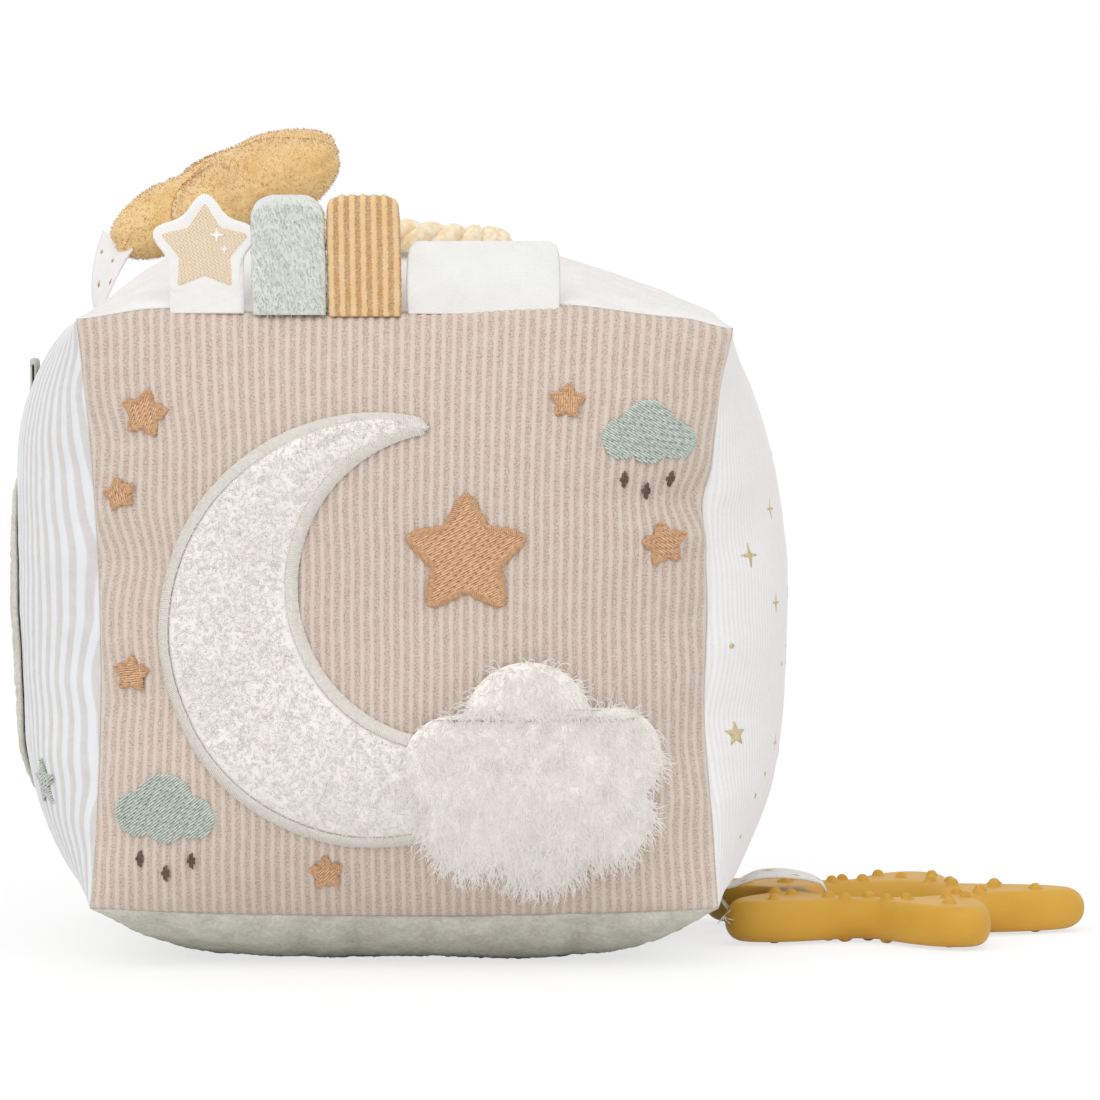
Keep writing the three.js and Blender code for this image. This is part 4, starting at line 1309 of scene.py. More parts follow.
def satin_border(place: Placer, outline: Array, width: float, inside: float, outside: float,
                 spacing: float) -> Array:
    """Close stitches across an outline.

    Args:
        place: puts side, height and lift on the surface.
        outline: the outline's points, turning left.
        width: length of a stitch.
        inside: lift of the stitches' inner ends.
        outside: lift of their outer ends.
        spacing: distance between stitches.

    Returns:
        A row of points for each stitch.
    """
    points, out = along_outline(outline, spacing)
    sharp = np.linalg.norm(np.roll(out, -2, axis=0) - np.roll(out, 2, axis=0), axis=1)
    reach = width * np.clip(1.3 - sharp, 0.35, 1.0)
    ahead = np.stack([-out[:, 1], out[:, 0]], axis=-1)
    uneven = np.random.default_rng(2).uniform(-0.06, 0.06, (len(points), 1))
    share = np.linspace(-0.5, 0.5, 6)
    flat = points[:, None] + out[:, None] * (share[None, :, None] * reach[:, None, None] + uneven[:, None])
    flat = flat + ahead[:, None] * (share[None, :, None] * 0.5)
    lift = inside + (outside - inside) * (share + 0.5) + 0.34 * (1 - (2 * share) ** 2)
    return place(flat[..., 0], flat[..., 1], lift)


def polygon_spans(polygons: list[Array], level: float) -> list[list[float]]:
    """Stretches of a level line that lie inside any of the polygons.

    Args:
        polygons: corner points of each polygon.
        level: second coordinate of the line.

    Returns:
        The start and end of each stretch, in order.
    """
    spans: list[list[float]] = []
    for polygon in polygons:
        after = np.roll(polygon, -1, axis=0)
        crosses = (polygon[:, 1] > level) != (after[:, 1] > level)
        share = (level - polygon[crosses, 1]) / (after[crosses, 1] - polygon[crosses, 1])
        cuts = np.sort(polygon[crosses, 0] + share * (after[crosses, 0] - polygon[crosses, 0]))
        spans += [[cuts[k], cuts[k + 1]] for k in range(0, len(cuts) - 1, 2)]
    merged: list[list[float]] = []
    for span in sorted(spans):
        if merged and span[0] <= merged[-1][1]:
            merged[-1][1] = max(merged[-1][1], span[1])
        else:
            merged.append(span)
    return merged


def fill_stitches(place: Placer, polygons: list[Array], angle: float, pitch: float = 0.46,
                  length: float = 3.8) -> Array:
    """Parallel stitches that fill joined outlines.

    Args:
        place: puts side, height and lift on the surface.
        polygons: outlines whose joined area is filled.
        angle: direction of the stitches in degrees.
        pitch: distance between rows.
        length: length of a stitch.

    Returns:
        A row of points for each stitch.
    """
    turn = math.radians(angle)
    ahead = np.array([math.cos(turn), math.sin(turn)])
    aside = np.array([-ahead[1], ahead[0]])
    turned = [np.stack([polygon @ ahead, polygon @ aside], axis=-1) for polygon in polygons]
    low = min(polygon[:, 1].min() for polygon in turned)
    high = max(polygon[:, 1].max() for polygon in turned)
    shortest = 0.7
    rows: list[tuple[float, float, float]] = []
    for index, level in enumerate(np.arange(low + pitch / 2, high, pitch)):
        for start, end in polygon_spans(turned, level):
            first = math.floor(start / length) + (index % 3) / 3 - 1
            cuts = [length * (first + k) for k in range(200)]
            cuts = [start, *(cut for cut in cuts if start + shortest < cut < end - shortest), end]
            rows += [(a, b, level) for a, b in zip(cuts, cuts[1:])]
    start, end, level = np.array(rows).T[..., None]
    run = start + (end - start) * np.array([0.0, 0.14, 0.5, 0.86, 1.0])
    lift = np.array([0.0, 0.75, 1.0, 0.75, 0.0]) * 0.42 + 0.12
    flat = run[..., None] * ahead + np.broadcast_to(level, run.shape)[..., None] * aside
    return place(flat[..., 0], flat[..., 1], lift)


def cloud_polygons(side: float, height: float, size: float) -> list[Array]:
    """Returns the lobes of a small cloud."""
    lobes = ((-0.55, -0.1, 0.42), (0.0, 0.15, 0.55), (0.55, -0.12, 0.4), (0.0, -0.22, 0.4))
    return [disc_polygon(side + x * size, height + z * size, r * size, 40) for x, z, r in lobes]


def star_mark(size: float, waist: float, tip: float, points: int, spot: tuple[float, float],
              stretch: float = 1.0) -> tuple[Array, tuple[float, float]]:
    """Outline and centre of a printed star.

    Args:
        size: distance from its centre to a tip.
        waist: distance to a notch, as a share of the size.
        tip: how far a tip is cut back.
        points: number of tips.
        spot: its centre.
        stretch: scale of its second coordinate.

    Returns:
        The outline and the centre.
    """
    return star_polygon(size, size * waist, 90, tip, points) * np.array([1.0, stretch]) + spot, spot


def joined_marks(name: str, marks: list[tuple[Array, tuple[float, float]]], place: Placer,
                 lift: float = 0.06) -> Piece:
    """Makes one thin piece of many small printed marks.

    Args:
        name: name of the piece.
        marks: outline and centre of each mark.
        place: puts side, height and lift on the surface.
        lift: distance of the marks off the surface.

    Returns:
        The new piece.
    """
    share = np.arange(1, MARK_RINGS + 1) / MARK_RINGS
    points = []
    faces = []
    for index, (outline, centre) in enumerate(marks):
        flat = disc_points(centre, polar_reach([outline], centre, MARK_SECTORS), share)
        for side in (lift, -lift):
            points.append(place(flat[:, 0], flat[:, 1], np.full(len(flat), side)))
        faces += disc_solid(MARK_RINGS, MARK_SECTORS, 2 * len(flat) * index)
    return mesh_piece(name, np.concatenate(points), faces)


@dataclass
class FrontDesign:
    """A fleece moon, a long-pile cloud with a loose lower part and stitched stars, on the front panel."""

    panel: Panel
    moon_radius: float = 42.0
    moon_middle: tuple[float, float] = (-4.0, 69.0)
    cut_radius: float = 31.5
    cut_middle: tuple[float, float] = (11.0, 78.0)
    fleece: float = 1.5
    cloud_middle: float = 27.0
    cloud_height: float = 42.0
    cloud_width: float = 50.0
    cloud_lobes: tuple[tuple[float, float, float], ...] = (
        (-0.02, 0.17, 0.25), (-0.31, 0.01, 0.2), (0.3, 0.04, 0.2), (-0.24, -0.22, 0.2), (0.04, -0.26, 0.22),
        (0.28, -0.2, 0.18))
    cloud_sectors: int = 220
    cloud_rings: int = 26
    cut_height: float = 52.0
    pile_base: float = 1.9
    pile_depth: float = 1.7
    thread: float = 0.26
    big_size: float = 6.0
    stars: tuple[tuple[float, float, float, float], ...] = (
        (14.0, 84.0, 13.0, 90.0), (-50.0, 112.0, 5.0, 80.0), (-55.0, 96.0, 3.4, 104.0), (53.0, 86.0, 4.6, 100.0),
        (-53.0, 60.0, 3.8, 86.0), (-14.0, 20.5, 3.6, 96.0), (34.0, 114.5, 3.6, 84.0))
    small_clouds: tuple[tuple[float, float, float], ...] = ((50.0, 108.0, 9.5), (-46.0, 33.0, 10.5))

    def crescent(self, share: Array) -> tuple[Array, Array]:
        """Points of the moon's outer and inner edge.

        Args:
            share: shares of the way from tip to tip.

        Returns:
            The outer and the inner points.
        """
        outer = np.array(self.moon_middle)
        inner = np.array(self.cut_middle)
        span = inner - outer
        gap = float(np.linalg.norm(span))
        along = (self.moon_radius ** 2 - self.cut_radius ** 2 + gap ** 2) / (2 * gap)
        half = math.sqrt(self.moon_radius ** 2 - along ** 2)
        axis = math.atan2(span[1], span[0])
        rows = []
        for middle, radius, tip in ((outer, self.moon_radius, math.atan2(half, along)),
                                    (inner, self.cut_radius, math.atan2(half, along - gap))):
            angle = axis + tip + (2 * math.pi - 2 * tip) * share
            rows.append(middle + radius * np.stack([np.cos(angle), np.sin(angle)], axis=-1))
        return rows[0], rows[1]

    def moon(self) -> None:
        """Makes the fleece moon with its pile and its stitched edge."""
        share = np.linspace(0.012, 0.988, 181)
        outer, inner = self.crescent(share)
        across = np.linspace(0, 1, 25)[:, None, None]
        flat = outer * (1 - across) + inner * across
        thick = self.fleece * (1 - np.abs(2 * across[..., 0] - 1) ** 5) * np.minimum(1, np.sin(share * math.pi) * 6)
        upper = self.panel.place(flat[..., 0], flat[..., 1], 0.35 + thick)
        lower = self.panel.place(flat[..., 0], flat[..., 1], 0.1)
        moon = fitted(closed_sheet("moon_patch", upper, lower, flat), "cube", "cream_fleece", CREAM_FLEECE)
        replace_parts(moon, "moon_applique")
        middle = upper[2:-2, 4:-4]
        strands = Pile(2.6, 1.5, 0.2, 1.1, (0.0, -0.2, -0.25), 1.1, 4).on(
            "moon_pile", middle.reshape(-1, 3), [grid_faces(*middle.shape[:2])], CREAM_STRANDS)
        strands.visible_shadow = False
        fitted(strands, "cube", "cream_fleece")
        rows = satin_border(self.panel.place, np.concatenate([outer, inner[::-1]]), 2.2, 1.35, 0.45, 0.36)
        border = fitted(stitched("moon_edge", rows, 0.22, CREAM_THREAD), "cube", "cream_fleece")

    def cloud_part(self, name: str, node: str, body: str, middle: float, sewn: bool) -> None:
        """Makes the sewn upper part or the loose lower part of the cloud, with its pile.

        Args:
            name: name of the piece.
            node: CAD node that it replaces.
            body: name of the body that carries it.
            middle: height of its middle.
            sewn: whether it is the sewn upper part.
        """
        centre = (self.cloud_middle, middle)
        lobes = [disc_polygon(self.cloud_middle + x * self.cloud_width, self.cloud_height + z * self.cloud_width,
                              r * self.cloud_width, 96) for x, z, r in self.cloud_lobes]
        slope = around(self.cloud_sectors)[:, 1]
        toward = (slope < -1e-3) if sewn else (slope > 1e-3)
        level = self.cut_height - (0.5 if sewn else 0.06)
        limit = np.where(toward, (level - middle) / np.where(toward, slope, 1.0), 1e3)
        reach = np.minimum(polar_reach(lobes, centre, self.cloud_sectors), limit)
        share = ring_shares(self.cloud_rings)
        flat = disc_points(centre, reach, share)
        x, z = flat[:, 0], flat[:, 1]
        depth = np.concatenate([[0.0], np.repeat(share, self.cloud_sectors)])
        bump = 0.7 * smooth_noise(x / 3.4, z / 4.6, 17) + 0.35 * smooth_noise(x / 1.6, z / 2.2, 18)
        top = self.panel.place(x, z, self.pile_base + (self.pile_depth + bump) * (1 - depth ** 12))
        bottom = self.panel.place(x, z, self.pile_base - 0.2)
        faces = disc_solid(self.cloud_rings, self.cloud_sectors)
        piece = mesh_piece(name, np.concatenate([top, bottom]), faces, np.concatenate([flat, flat]))
        fitted(piece, body, "cream_pile", CREAM_FLEECE)
        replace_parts(piece, node)
        pile = Pile(2.4, 3.8, 0.19, 0.5, (0.0, -0.15, -1.0), 0.9, 9 if sewn else 12)
        strands = pile.on(name + "_pile", top, faces[:2], PILE_STRANDS)
        strands.visible_shadow = False
        fitted(strands, body, "cream_pile")

    def sewn_stars(self) -> None:
        """Makes the filled stars and their outlines."""
        fills = []
        edges = []
        for index, (side, height, size, turn) in enumerate(self.stars):
            star = star_polygon(size, size * 0.52, turn, size * 0.16, 5, (side, height))
            big = size > self.big_size
            fills.append(fill_stitches(self.panel.place, [star], 28 + 40 * index, length=3.8 if big else 2.4))
            edges.append(satin_border(self.panel.place, star, 1.3 if big else 0.9, 0.45, 0.2, 0.42))
        for name, rows, finish in (("star_fill", np.concatenate(fills), TAN_THREAD),
                                   ("star_edge", five_points(np.concatenate(edges)), BROWN_EDGE_THREAD)):
            fitted(stitched(name, rows, self.thread, finish), "cube", "caramel_corduroy")

    def sewn_clouds(self) -> None:
        """Makes the small clouds and the drops below them."""
        clouds = []
        drops = []
        for index, (side, height, size) in enumerate(self.small_clouds):
            lobes = cloud_polygons(side, height, size)
            clouds.append(fill_stitches(self.panel.place, lobes, -32 + 70 * index, length=3.2))
            for step in (-0.5, 0.0, 0.5):
                foot = (side + step * size, height - 0.95 * size - 0.25 * size * (step == 0))
                drop = star_polygon(1.9, 0.75, 90, 0.2, 2, foot)
                drops.append(fill_stitches(self.panel.place, [drop], 90, 0.4, 3.0))
        fitted(stitched("small_clouds", np.concatenate(clouds), self.thread, SAGE_THREAD), "cube", "sage_plush")
        fitted(stitched("drops", np.concatenate(drops), 0.25, BROWN_THREAD), "cube", "caramel_corduroy")

    def build(self) -> None:
        """Makes the whole design."""
        self.moon()
        self.cloud_part("cloud_crown", "cloud_top", "cube", 53.2, True)
        self.cloud_part("cloud_skirt", "cloud_flap", "cloud_flap", 41.0, False)
        self.sewn_stars()
        self.sewn_clouds()


def five_points(rows: Array) -> Array:
    """Returns stitches resampled to five points each."""
    index = np.linspace(0, rows.shape[1] - 1, 5)
    low = np.floor(index).astype(int)
    high = np.minimum(low + 1, rows.shape[1] - 1)
    share = (index - low)[None, :, None]
    return rows[:, low] * (1 - share) + rows[:, high] * share


@dataclass
class LoopTag:
    """A folded loop of soft cloth that stands in the top front seam or on a side."""

    name: str
    node: str
    slot: str
    finish: Finish
    side: float
    width: float
    foot: float
    top: float
    thickness: float
    wall: float
    corner: float
    back: float = -65.0
    rib_pitch: float = 0.0
    rib_height: float = 0.0
    tuft: float = 0.0
    lean: float = 0.0
    seed: int = 3
    columns: int = 96
    rows: int = 120
    matrix: Matrix | None = None

    def grid(self, inset: float) -> Array:
        """Points of the loop, front foot first.

        Args:
            inset: how far they are moved in from the outer side.

        Returns:
            Rows of points.
        """
        u = np.linspace(-1, 1, self.columns + 1)[None]
        half = self.width / 2 - inset * 0.3
        x = u * half
        over = np.clip((np.abs(x) - (half - self.corner)) / self.corner, 0, 1)
        top = self.top - inset - self.corner * (1 - np.sqrt(1 - over ** 2))
        full = 0.5 + 0.5 * np.sqrt(1 - np.abs(u) ** 5)
        radius = np.maximum((self.thickness / 2 - inset) * full, 0.08)
        run = np.linspace(0, 1, self.rows + 1)[:, None]
        turn = 0.14
        flat = (1 - turn) / 2
        rise = np.clip(run / flat, 0, 1) - np.clip((run - flat - turn) / flat, 0, 1)
        angle = math.pi * np.clip((run - flat) / turn, 0, 1)
        height = self.foot + (top - radius - self.foot) * rise + radius * np.sin(angle)
        bulge = np.sin(np.clip((height - self.foot) / (top - self.foot), 0, 1) * math.pi)
        share = np.clip((height - self.foot) / (self.top - self.foot), 0, 1)
        wide = x * (1 + 0.02 * bulge) + self.lean * share
        sway = 0.25 * smooth_noise(share * 2.5 + 3, np.broadcast_to(u, share.shape) * 1.5 + 9, self.seed)
        return np.stack([wide + self.side, self.back + sway - radius * np.cos(angle), height], axis=-1)

    def relief(self, cloth: Array) -> Array:
        """Height of the ribs or the tufts.

        Args:
            cloth: cloth coordinates.

        Returns:
            The height at each of them.
        """
        x, y = cloth[..., 0], cloth[..., 1]
        relief = np.zeros(x.shape)
        if self.rib_height:
            wave = (0.5 + 0.5 * np.cos(2 * math.pi * x / self.rib_pitch)) ** 0.8
            relief = relief + self.rib_height * (wave - 0.6)
            relief = relief + 0.14 * smooth_noise(x / 0.5, y / 0.8, self.seed + 1)
        if self.tuft:
            relief = relief + self.tuft * smooth_noise(x / 1.2, y / 1.5, self.seed + 2)
            relief = relief + self.tuft * 0.5 * smooth_noise(x / 0.6, y / 0.7, self.seed + 3)
        return relief

    def build(self) -> Array:
        """Makes the loop.

        Returns:
            The points of its outer side.
        """
        length = 2 * (self.top - self.foot)
        u = np.linspace(-self.width / 2, self.width / 2, self.columns + 1)
        cloth = np.stack(np.meshgrid(u, np.linspace(0, length, self.rows + 1)), axis=-1)
        outer = self.grid(0.0)
        outer = outer + grid_normal(outer) * self.relief(cloth)[..., None]
        inner = self.grid(self.wall)
        if self.matrix:
            outer, inner = (moved(points, self.matrix) for points in (outer, inner))
        piece = fitted(closed_sheet(self.name, outer, inner, cloth), self.node, self.slot, self.finish)
        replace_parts(piece, self.node)
        return outer


@dataclass
class StarTag:
    """The flat star with a woven rim and a peach middle, on a white foot."""

    side: float = -38.3
    middle: float = 144.9
    reach: float = 11.9
    waist: float = 7.6
    back: float = -65.4
    foot: float = 131.9
    foot_width: float = 14.8
    foot_shift: float = 0.4

    def place(self, side: Array, height: Array, lift: Array) -> Array:
        """Points in front of the tag's middle plane."""
        return np.stack(np.broadcast_arrays(side, self.back - lift, height), axis=-1)

    def patch(self, name: str, outline: Array, rings: int, sectors: int,
              heights: Callable[[Array], tuple[Array, Array]], finish: Finish) -> Piece:
        """Makes one star-shaped layer of the tag.

        Args:
            name: name of the piece.
            outline: its outline.
            rings: number of rings of points.
            sectors: number of points in a ring.
            heights: gives the front and back lift from the ring's share.
            finish: its finish.

        Returns:
            The new piece.
        """
        star = polar_patch(name, [outline], (self.side, self.middle), rings, sectors, heights, self.place)
        return fitted(star, "star_tag", finish.name, finish)

    def build(self) -> None:
        """Makes the star, its foot, its middle and the two sparkles."""
        def rim(share: Array) -> tuple[Array, Array]:
            """Lift of the star's front and back from its middle to its rim."""
            half = (0.85 + 0.1 * share ** 4) * np.sqrt(np.clip(1 - share ** 22, 0, 1))
            return half, -half

        outline = star_polygon(self.reach * 1.06, self.waist, 90, self.reach * 0.34, 5, (self.side, self.middle))
        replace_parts(self.patch("star_tag_rim", outline, 40, 240, rim, WHITE_WEAVE), "star_tag")
        high = self.middle - self.foot + 1.5
        x, z = np.meshgrid(np.linspace(-0.5, 0.5, 41) * self.foot_width, self.foot + high * np.linspace(0, 1, 41))
        puff = 0.85 * np.sqrt(np.clip(1 - np.abs(2 * x / self.foot_width) ** 6, 0, 1))
        wobble = 0.12 * smooth_noise(x / 3, z / 3, 6)
        outer, inner = (self.place(x + self.side + self.foot_shift, z, wobble + lift) for lift in (puff, -puff))
        foot = fitted(closed_sheet("star_tag_foot", outer, inner, np.stack([x, z], axis=-1)), "star_tag",
                      "white_weave", WHITE_WEAVE)
        outline = star_polygon(self.reach * 0.78, self.waist * 0.7, 90, self.reach * 0.07, 5,
                               (self.side, self.middle - 0.1))
        self.patch("star_tag_face", outline, 24, 160,
                   lambda share: (1.1 - 0.12 * share ** 10, np.full_like(share, 0.2)), PEACH_WEAVE)
        marks = [star_mark(size, 0.24, 0.05, 4, (self.side + x, self.middle + z))
                 for size, x, z in ((1.8, 2.4, 2.7), (1.1, 3.9, -0.2))]
        sparkles = joined_marks("star_tag_sparkles", marks,
                                lambda side, height, lift: self.place(side, height, lift + 1.15))
        fitted(sparkles, "star_tag", "white_weave", WHITE_PRINT)


@dataclass
class TopTags:
    """The four tags of the top front seam."""

    star: StarTag = field(default_factory=StarTag)
    plush: LoopTag = field(default_factory=lambda: LoopTag(
        "plush_tag", "plush_loop", "sage_plush", SAGE_TAG_PLUSH, -21.4, 14.6, 131.6, 155.6, 4.6, 1.6, 4.6, tuft=0.08,
        lean=-0.5))
    corduroy: LoopTag = field(default_factory=lambda: LoopTag(
        "corduroy_tag", "corduroy_loop", "caramel_corduroy", CARAMEL_CORDUROY, -6.4, 14.9, 131.3, 155.6, 4.0, 1.4,
        3.6, rib_pitch=2.14, rib_height=0.34, lean=-0.4))
    label: LoopTag = field(default_factory=lambda: LoopTag(
        "satin_label", "folded_label", "white_weave", LABEL_WEAVE, 17.3, 30.2, 131.8, 146.4, 1.5, 0.4, 2.6))

    def build(self) -> None:
        """Makes the tags, the plush one with its nap."""
        self.star.build()
        shape = self.plush.build()[::4, ::4]
        nap = Pile(5.0, 0.8, 0.075, 0.4, (0.5, 0.0, -1.9), 0.35, 21)
        strands = nap.on("plush_tag_nap", shape.reshape(-1, 3), [grid_faces(*shape.shape[:2])], SAGE_STRANDS)
        fitted(strands, "plush_loop", "sage_plush")
        self.corduroy.build()
        self.label.build()


@dataclass
class SideLoop:
    """The small sage loop on the left side."""

    root: tuple[float, float, float] = (-75.7, -24.0, 116.4)
    width: float = 10.0
    length: float = 6.2
    lean: float = 2.0

    def build(self) -> None:
        """Makes the loop."""
        turn = Matrix.Translation(Vector(self.root)) @ Matrix.Rotation(-math.radians(self.lean), 4, "Y") \
            @ Matrix.Rotation(math.pi / 2, 4, "Z")
        LoopTag("side_tag", "side_loop", "sage_plush", SAGE_RIBBON, 0.0, self.width, -0.9, self.length, 1.6, 0.4, 1.0,
                back=0.0, columns=40, rows=60, matrix=turn).build()


@dataclass
class CordRing:
    """The chunky twisted cord that lies as a ring in the top panel's dent."""

    panel: Panel
    strand_radius: float = 1.95
    strand_offset: float = 1.35
    turns: int = 11
    strands: int = 2
    sink: float = 0.4
    tilt: float = 2.6
    steps: int = 420
    sides: int = 14

    def build(self) -> None:
        """Makes the strands."""
        turn = np.arange(self.steps) / self.steps * 2 * math.pi
        out = np.stack([np.cos(turn), np.sin(turn), np.zeros_like(turn)], axis=-1)
        side = self.panel.dent_radius * out[:, 0]
        back = self.panel.dent_radius * out[:, 1] - self.panel.dent_forward
        ground = FORM.skin(self.panel.side, 2 * side / FORM.width_top, 2 * back / FORM.depth)
        rise = np.array([0.0, 0.0, 1.0])
        middle = ground - rise * (self.sink + self.tilt * out[:, 1:2])
        angle = np.arange(self.sides) / self.sides * 2 * math.pi
        ply = 1 + 0.06 * np.cos(5 * angle[None] + (turn * 90)[:, None])
        for index in range(self.strands):
            phase = turn * self.turns + index * 2 * math.pi / self.strands
            centre = middle + self.strand_offset * (np.cos(phase)[:, None] * out + np.sin(phase)[:, None] * rise)
            ahead = unit(np.roll(centre, -1, axis=0) - np.roll(centre, 1, axis=0))
            away = unit(centre - middle)
            away = unit(away - np.sum(away * ahead, axis=-1, keepdims=True) * ahead)
            beside = np.cross(ahead, away)
            ring = centre[:, None] + self.strand_radius * ply[..., None] * (
                np.cos(angle)[None, :, None] * away[:, None] + np.sin(angle)[None, :, None] * beside[:, None])
            piece = fitted(tube(f"cord_strand_{index + 1}", ring), "cube", "yellow_cotton", YELLOW_COTTON)
            if index == 0:
                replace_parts(piece, "twisted_cord")


@dataclass
class Ribbon:
    """A ribbon's middle line, the direction across it and the way that it faces, with its width and curl."""

    middle: Array
    across: Array
    facing: Array
    width: float
    curl: float = 0.0

    def prints(self, name: str, body: str, marks: list[tuple[Array, tuple[float, float]]], steps: int, lift: float,
               finish: Finish) -> None:
        """Prints marks on both faces.

        Args:
            name: name of the pieces, before their number.
            body: name of the body that carries them.
            marks: outline and centre of each mark, across and as a share of the run.
            steps: steps along the whole run.
            lift: distance from the middle of the cloth.
            finish: finish of the print.
        """
        for index, sign in ((1, 1), (2, -1)):
            def place(side: Array, run: Array, raised: Array) -> Array:
                """Points on one face of the ribbon."""
                low = (run * steps).astype(int)
                part = (run * steps - low)[:, None]
                spot = self.middle[low] * (1 - part) + self.middle[low + 1] * part
                height = sign * lift + raised + self.curl * (2 * np.abs(side / self.width)) ** 2
                return spot + self.across[low] * side[:, None] + self.facing[low] * height[:, None]

            fitted(joined_marks(f"{name}_{index}", marks, place), body, "white_weave", finish)


@dataclass
class PlushStar:
    """The stuffed velour star on its ribbon."""

    middle: tuple[float, float, float] = (-37.0, 22.0, 157.5)
    rise: float = 22.8
    turn: float = 7.0
    reach: float = 28.5
    waist: float = 18.4
    thickness: float = 17.4
    seam_depth: float = 0.6
    sectors: int = 300
    rings: int = 60
    ribbon_width: float = 13.0
    ribbon_length: float = 18.0
    ribbon_half: float = 0.22
    ribbon_steps: int = 60

    @property
    def matrix(self) -> Matrix:
        """Place and turn of the star."""
        return Matrix.Translation(Vector(self.middle)) @ Matrix.Rotation(-math.radians(self.rise), 4, "Y") \
            @ Matrix.Rotation(math.radians(self.turn), 4, "X") @ Matrix.Rotation(math.pi, 4, "Z")

    def face(self, sign: int) -> Array:
        """Points of one face of the star, with its seam and creases.

        Args:
            sign: 1 for the upper face and -1 for the lower.

        Returns:
            The points, ring by ring from the middle.
        """
        share = np.concatenate([[0.0], ring_shares(self.rings)])
        s, a = np.meshgrid(share, np.arange(self.sectors) * 2 * math.pi / self.sectors, indexing="ij")
        arm = (1 + np.cos(5 * a)) / 2
        gather = 1 + 0.4 * smooth_noise(a * 22 / math.pi, 0 * s + 4, 77)
        radius = (self.waist + (self.reach - self.waist) * arm ** 1.1) * s
        radius = radius - self.seam_depth * gather * (0.25 + 0.75 * arm) * np.exp((s - 1) / 0.008)
        x = radius * np.cos(a)
        y = radius * np.sin(a)
        dome = (1 - s ** 2.6) ** 0.5
        puff = 0.62 + 0.38 * (1 - (s * (1 - arm)) ** 2)
        from_notch = np.mod(a * 5 / (2 * math.pi) + 0.5, 1)
        notch = np.exp(-(from_notch / 0.06) ** 2) + np.exp(-((from_notch - 1.0) / 0.06) ** 2)
        height = self.thickness / 2 * dome * puff - 2.0 * notch * s ** 2 * (1 - s ** 8)
        folds = smooth_noise(a * 5.5 / math.pi * 2 + 11, s * 2.2 + 3 * sign + 4, 71) * 1.25 * s ** 2 * (1 - s ** 6)
        folds = folds + smooth_noise(a * 17 / math.pi, s * 3 + 9 * sign, 79) * 0.35 * s ** 6 * (1 - s ** 16)
        slow = smooth_noise(x / 9 + 5, y / 9 + 7 + sign, 73) * 0.7 * (1 - s ** 4)
        tuft = 0.07 * smooth_noise(x / 1.1 + 20, y / 1.1 + 20, 75 + sign)
        height = np.maximum(height + np.maximum(folds + slow, -0.7) + tuft * (1 - s ** 20), 0.0)
        return moved(np.stack([x, y, sign * height], axis=-1), self.matrix)

    def build(self) -> None:
        """Makes the star's two faces as one closed piece, its nap, its seam and its ribbon."""
        upper = self.face(1)
        lower = self.face(-1)
        points = np.concatenate([upper[0, :1], upper[1:].reshape(-1, 3), lower[0, :1], lower[1:-1].reshape(-1, 3)])
        first = 1 + self.rings * self.sectors
        fan, sides = disc_faces(self.rings, self.sectors)
        low_fan, low_sides = (faces[:, ::-1] + first for faces in disc_faces(self.rings - 1, self.sectors))
        rim = first - self.sectors + np.arange(self.sectors)
        last = rim + first - self.sectors
        band = joined(last, np.roll(last, -1), np.roll(rim, -1), rim)
        faces = [fan, sides, np.roll(low_fan, 1, axis=1), low_sides, band]
        star = fitted(mesh_piece("plush_star_cover", points, faces), "plush_star", "ochre_velour", OCHRE_VELOUR)
        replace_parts(star, "plush_star_upper", "plush_star_lower")
        nap = Pile(1.9, 0.45, 0.085, 0.5, (-0.45, -0.3, 0.3), 0.5, 31)
        fitted(nap.on("plush_star_nap", points, faces, OCHRE_STRANDS), "plush_star", "ochre_velour")
        self.ribbon()

    def ribbon(self) -> None:
        """Makes the ribbon from the top left seam to the star's near tip."""
        rise = math.radians(self.rise)
        tip = np.array([self.middle[0] - 26.5 * math.cos(rise), self.middle[2] - 26.5 * math.sin(rise)])
        root = np.array([-66.0, 131.3])
        bend = np.array([-65.0, (131 + tip[1]) / 2 + 1.6])
        share = np.linspace(0, 1, self.ribbon_steps + 1)[:, None]
        line = (1 - share) ** 2 * root + 2 * share * (1 - share) * bend + share ** 2 * tip
        ahead = unit(np.gradient(line, axis=0))
        forward = np.insert(ahead, 1, 0.0, axis=1)
        twist = math.radians(38) * np.sqrt(share)
        beside = np.array([0.0, 1.0, 0.0])
        across = np.cos(twist) * beside + np.sin(twist) * np.cross(forward, beside)
        ribbon = Ribbon(np.insert(line, 1, self.middle[1], axis=1), across, unit(np.cross(forward, across)),
                        self.ribbon_width, 0.5)
        wide = np.linspace(-0.5, 0.5, 31)[None, :, None] * self.ribbon_width
        curl = ribbon.curl * (2 * np.abs(wide / self.ribbon_width)) ** 2
        outer, inner = (ribbon.middle[:, None] + across[:, None] * wide + ribbon.facing[:, None] * (curl + lift)
                        for lift in (self.ribbon_half, -self.ribbon_half))
        cloth = np.stack(np.broadcast_arrays(wide[..., 0], share * self.ribbon_length), axis=-1)
        piece = closed_sheet("star_ribbon_cloth", outer[:, ::-1], inner[:, ::-1], cloth)
        fitted(piece, "star_ribbon", "white_weave", WHITE_WEAVE)
        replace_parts(piece, "plush_star_ribbon")
        marks = [star_mark(size, 0.45, 0.05, 5, (side, run), 1 / self.ribbon_length) for side, run, size in
                 ((-4.4, 0.42, 1.0), (-1.0, 0.7, 0.75), (2.6, 0.35, 1.0), (4.5, 0.75, 0.7))]
        ribbon.prints("star_ribbon_print", "star_ribbon", marks, self.ribbon_steps, 0.24, BROWN_PRINT)


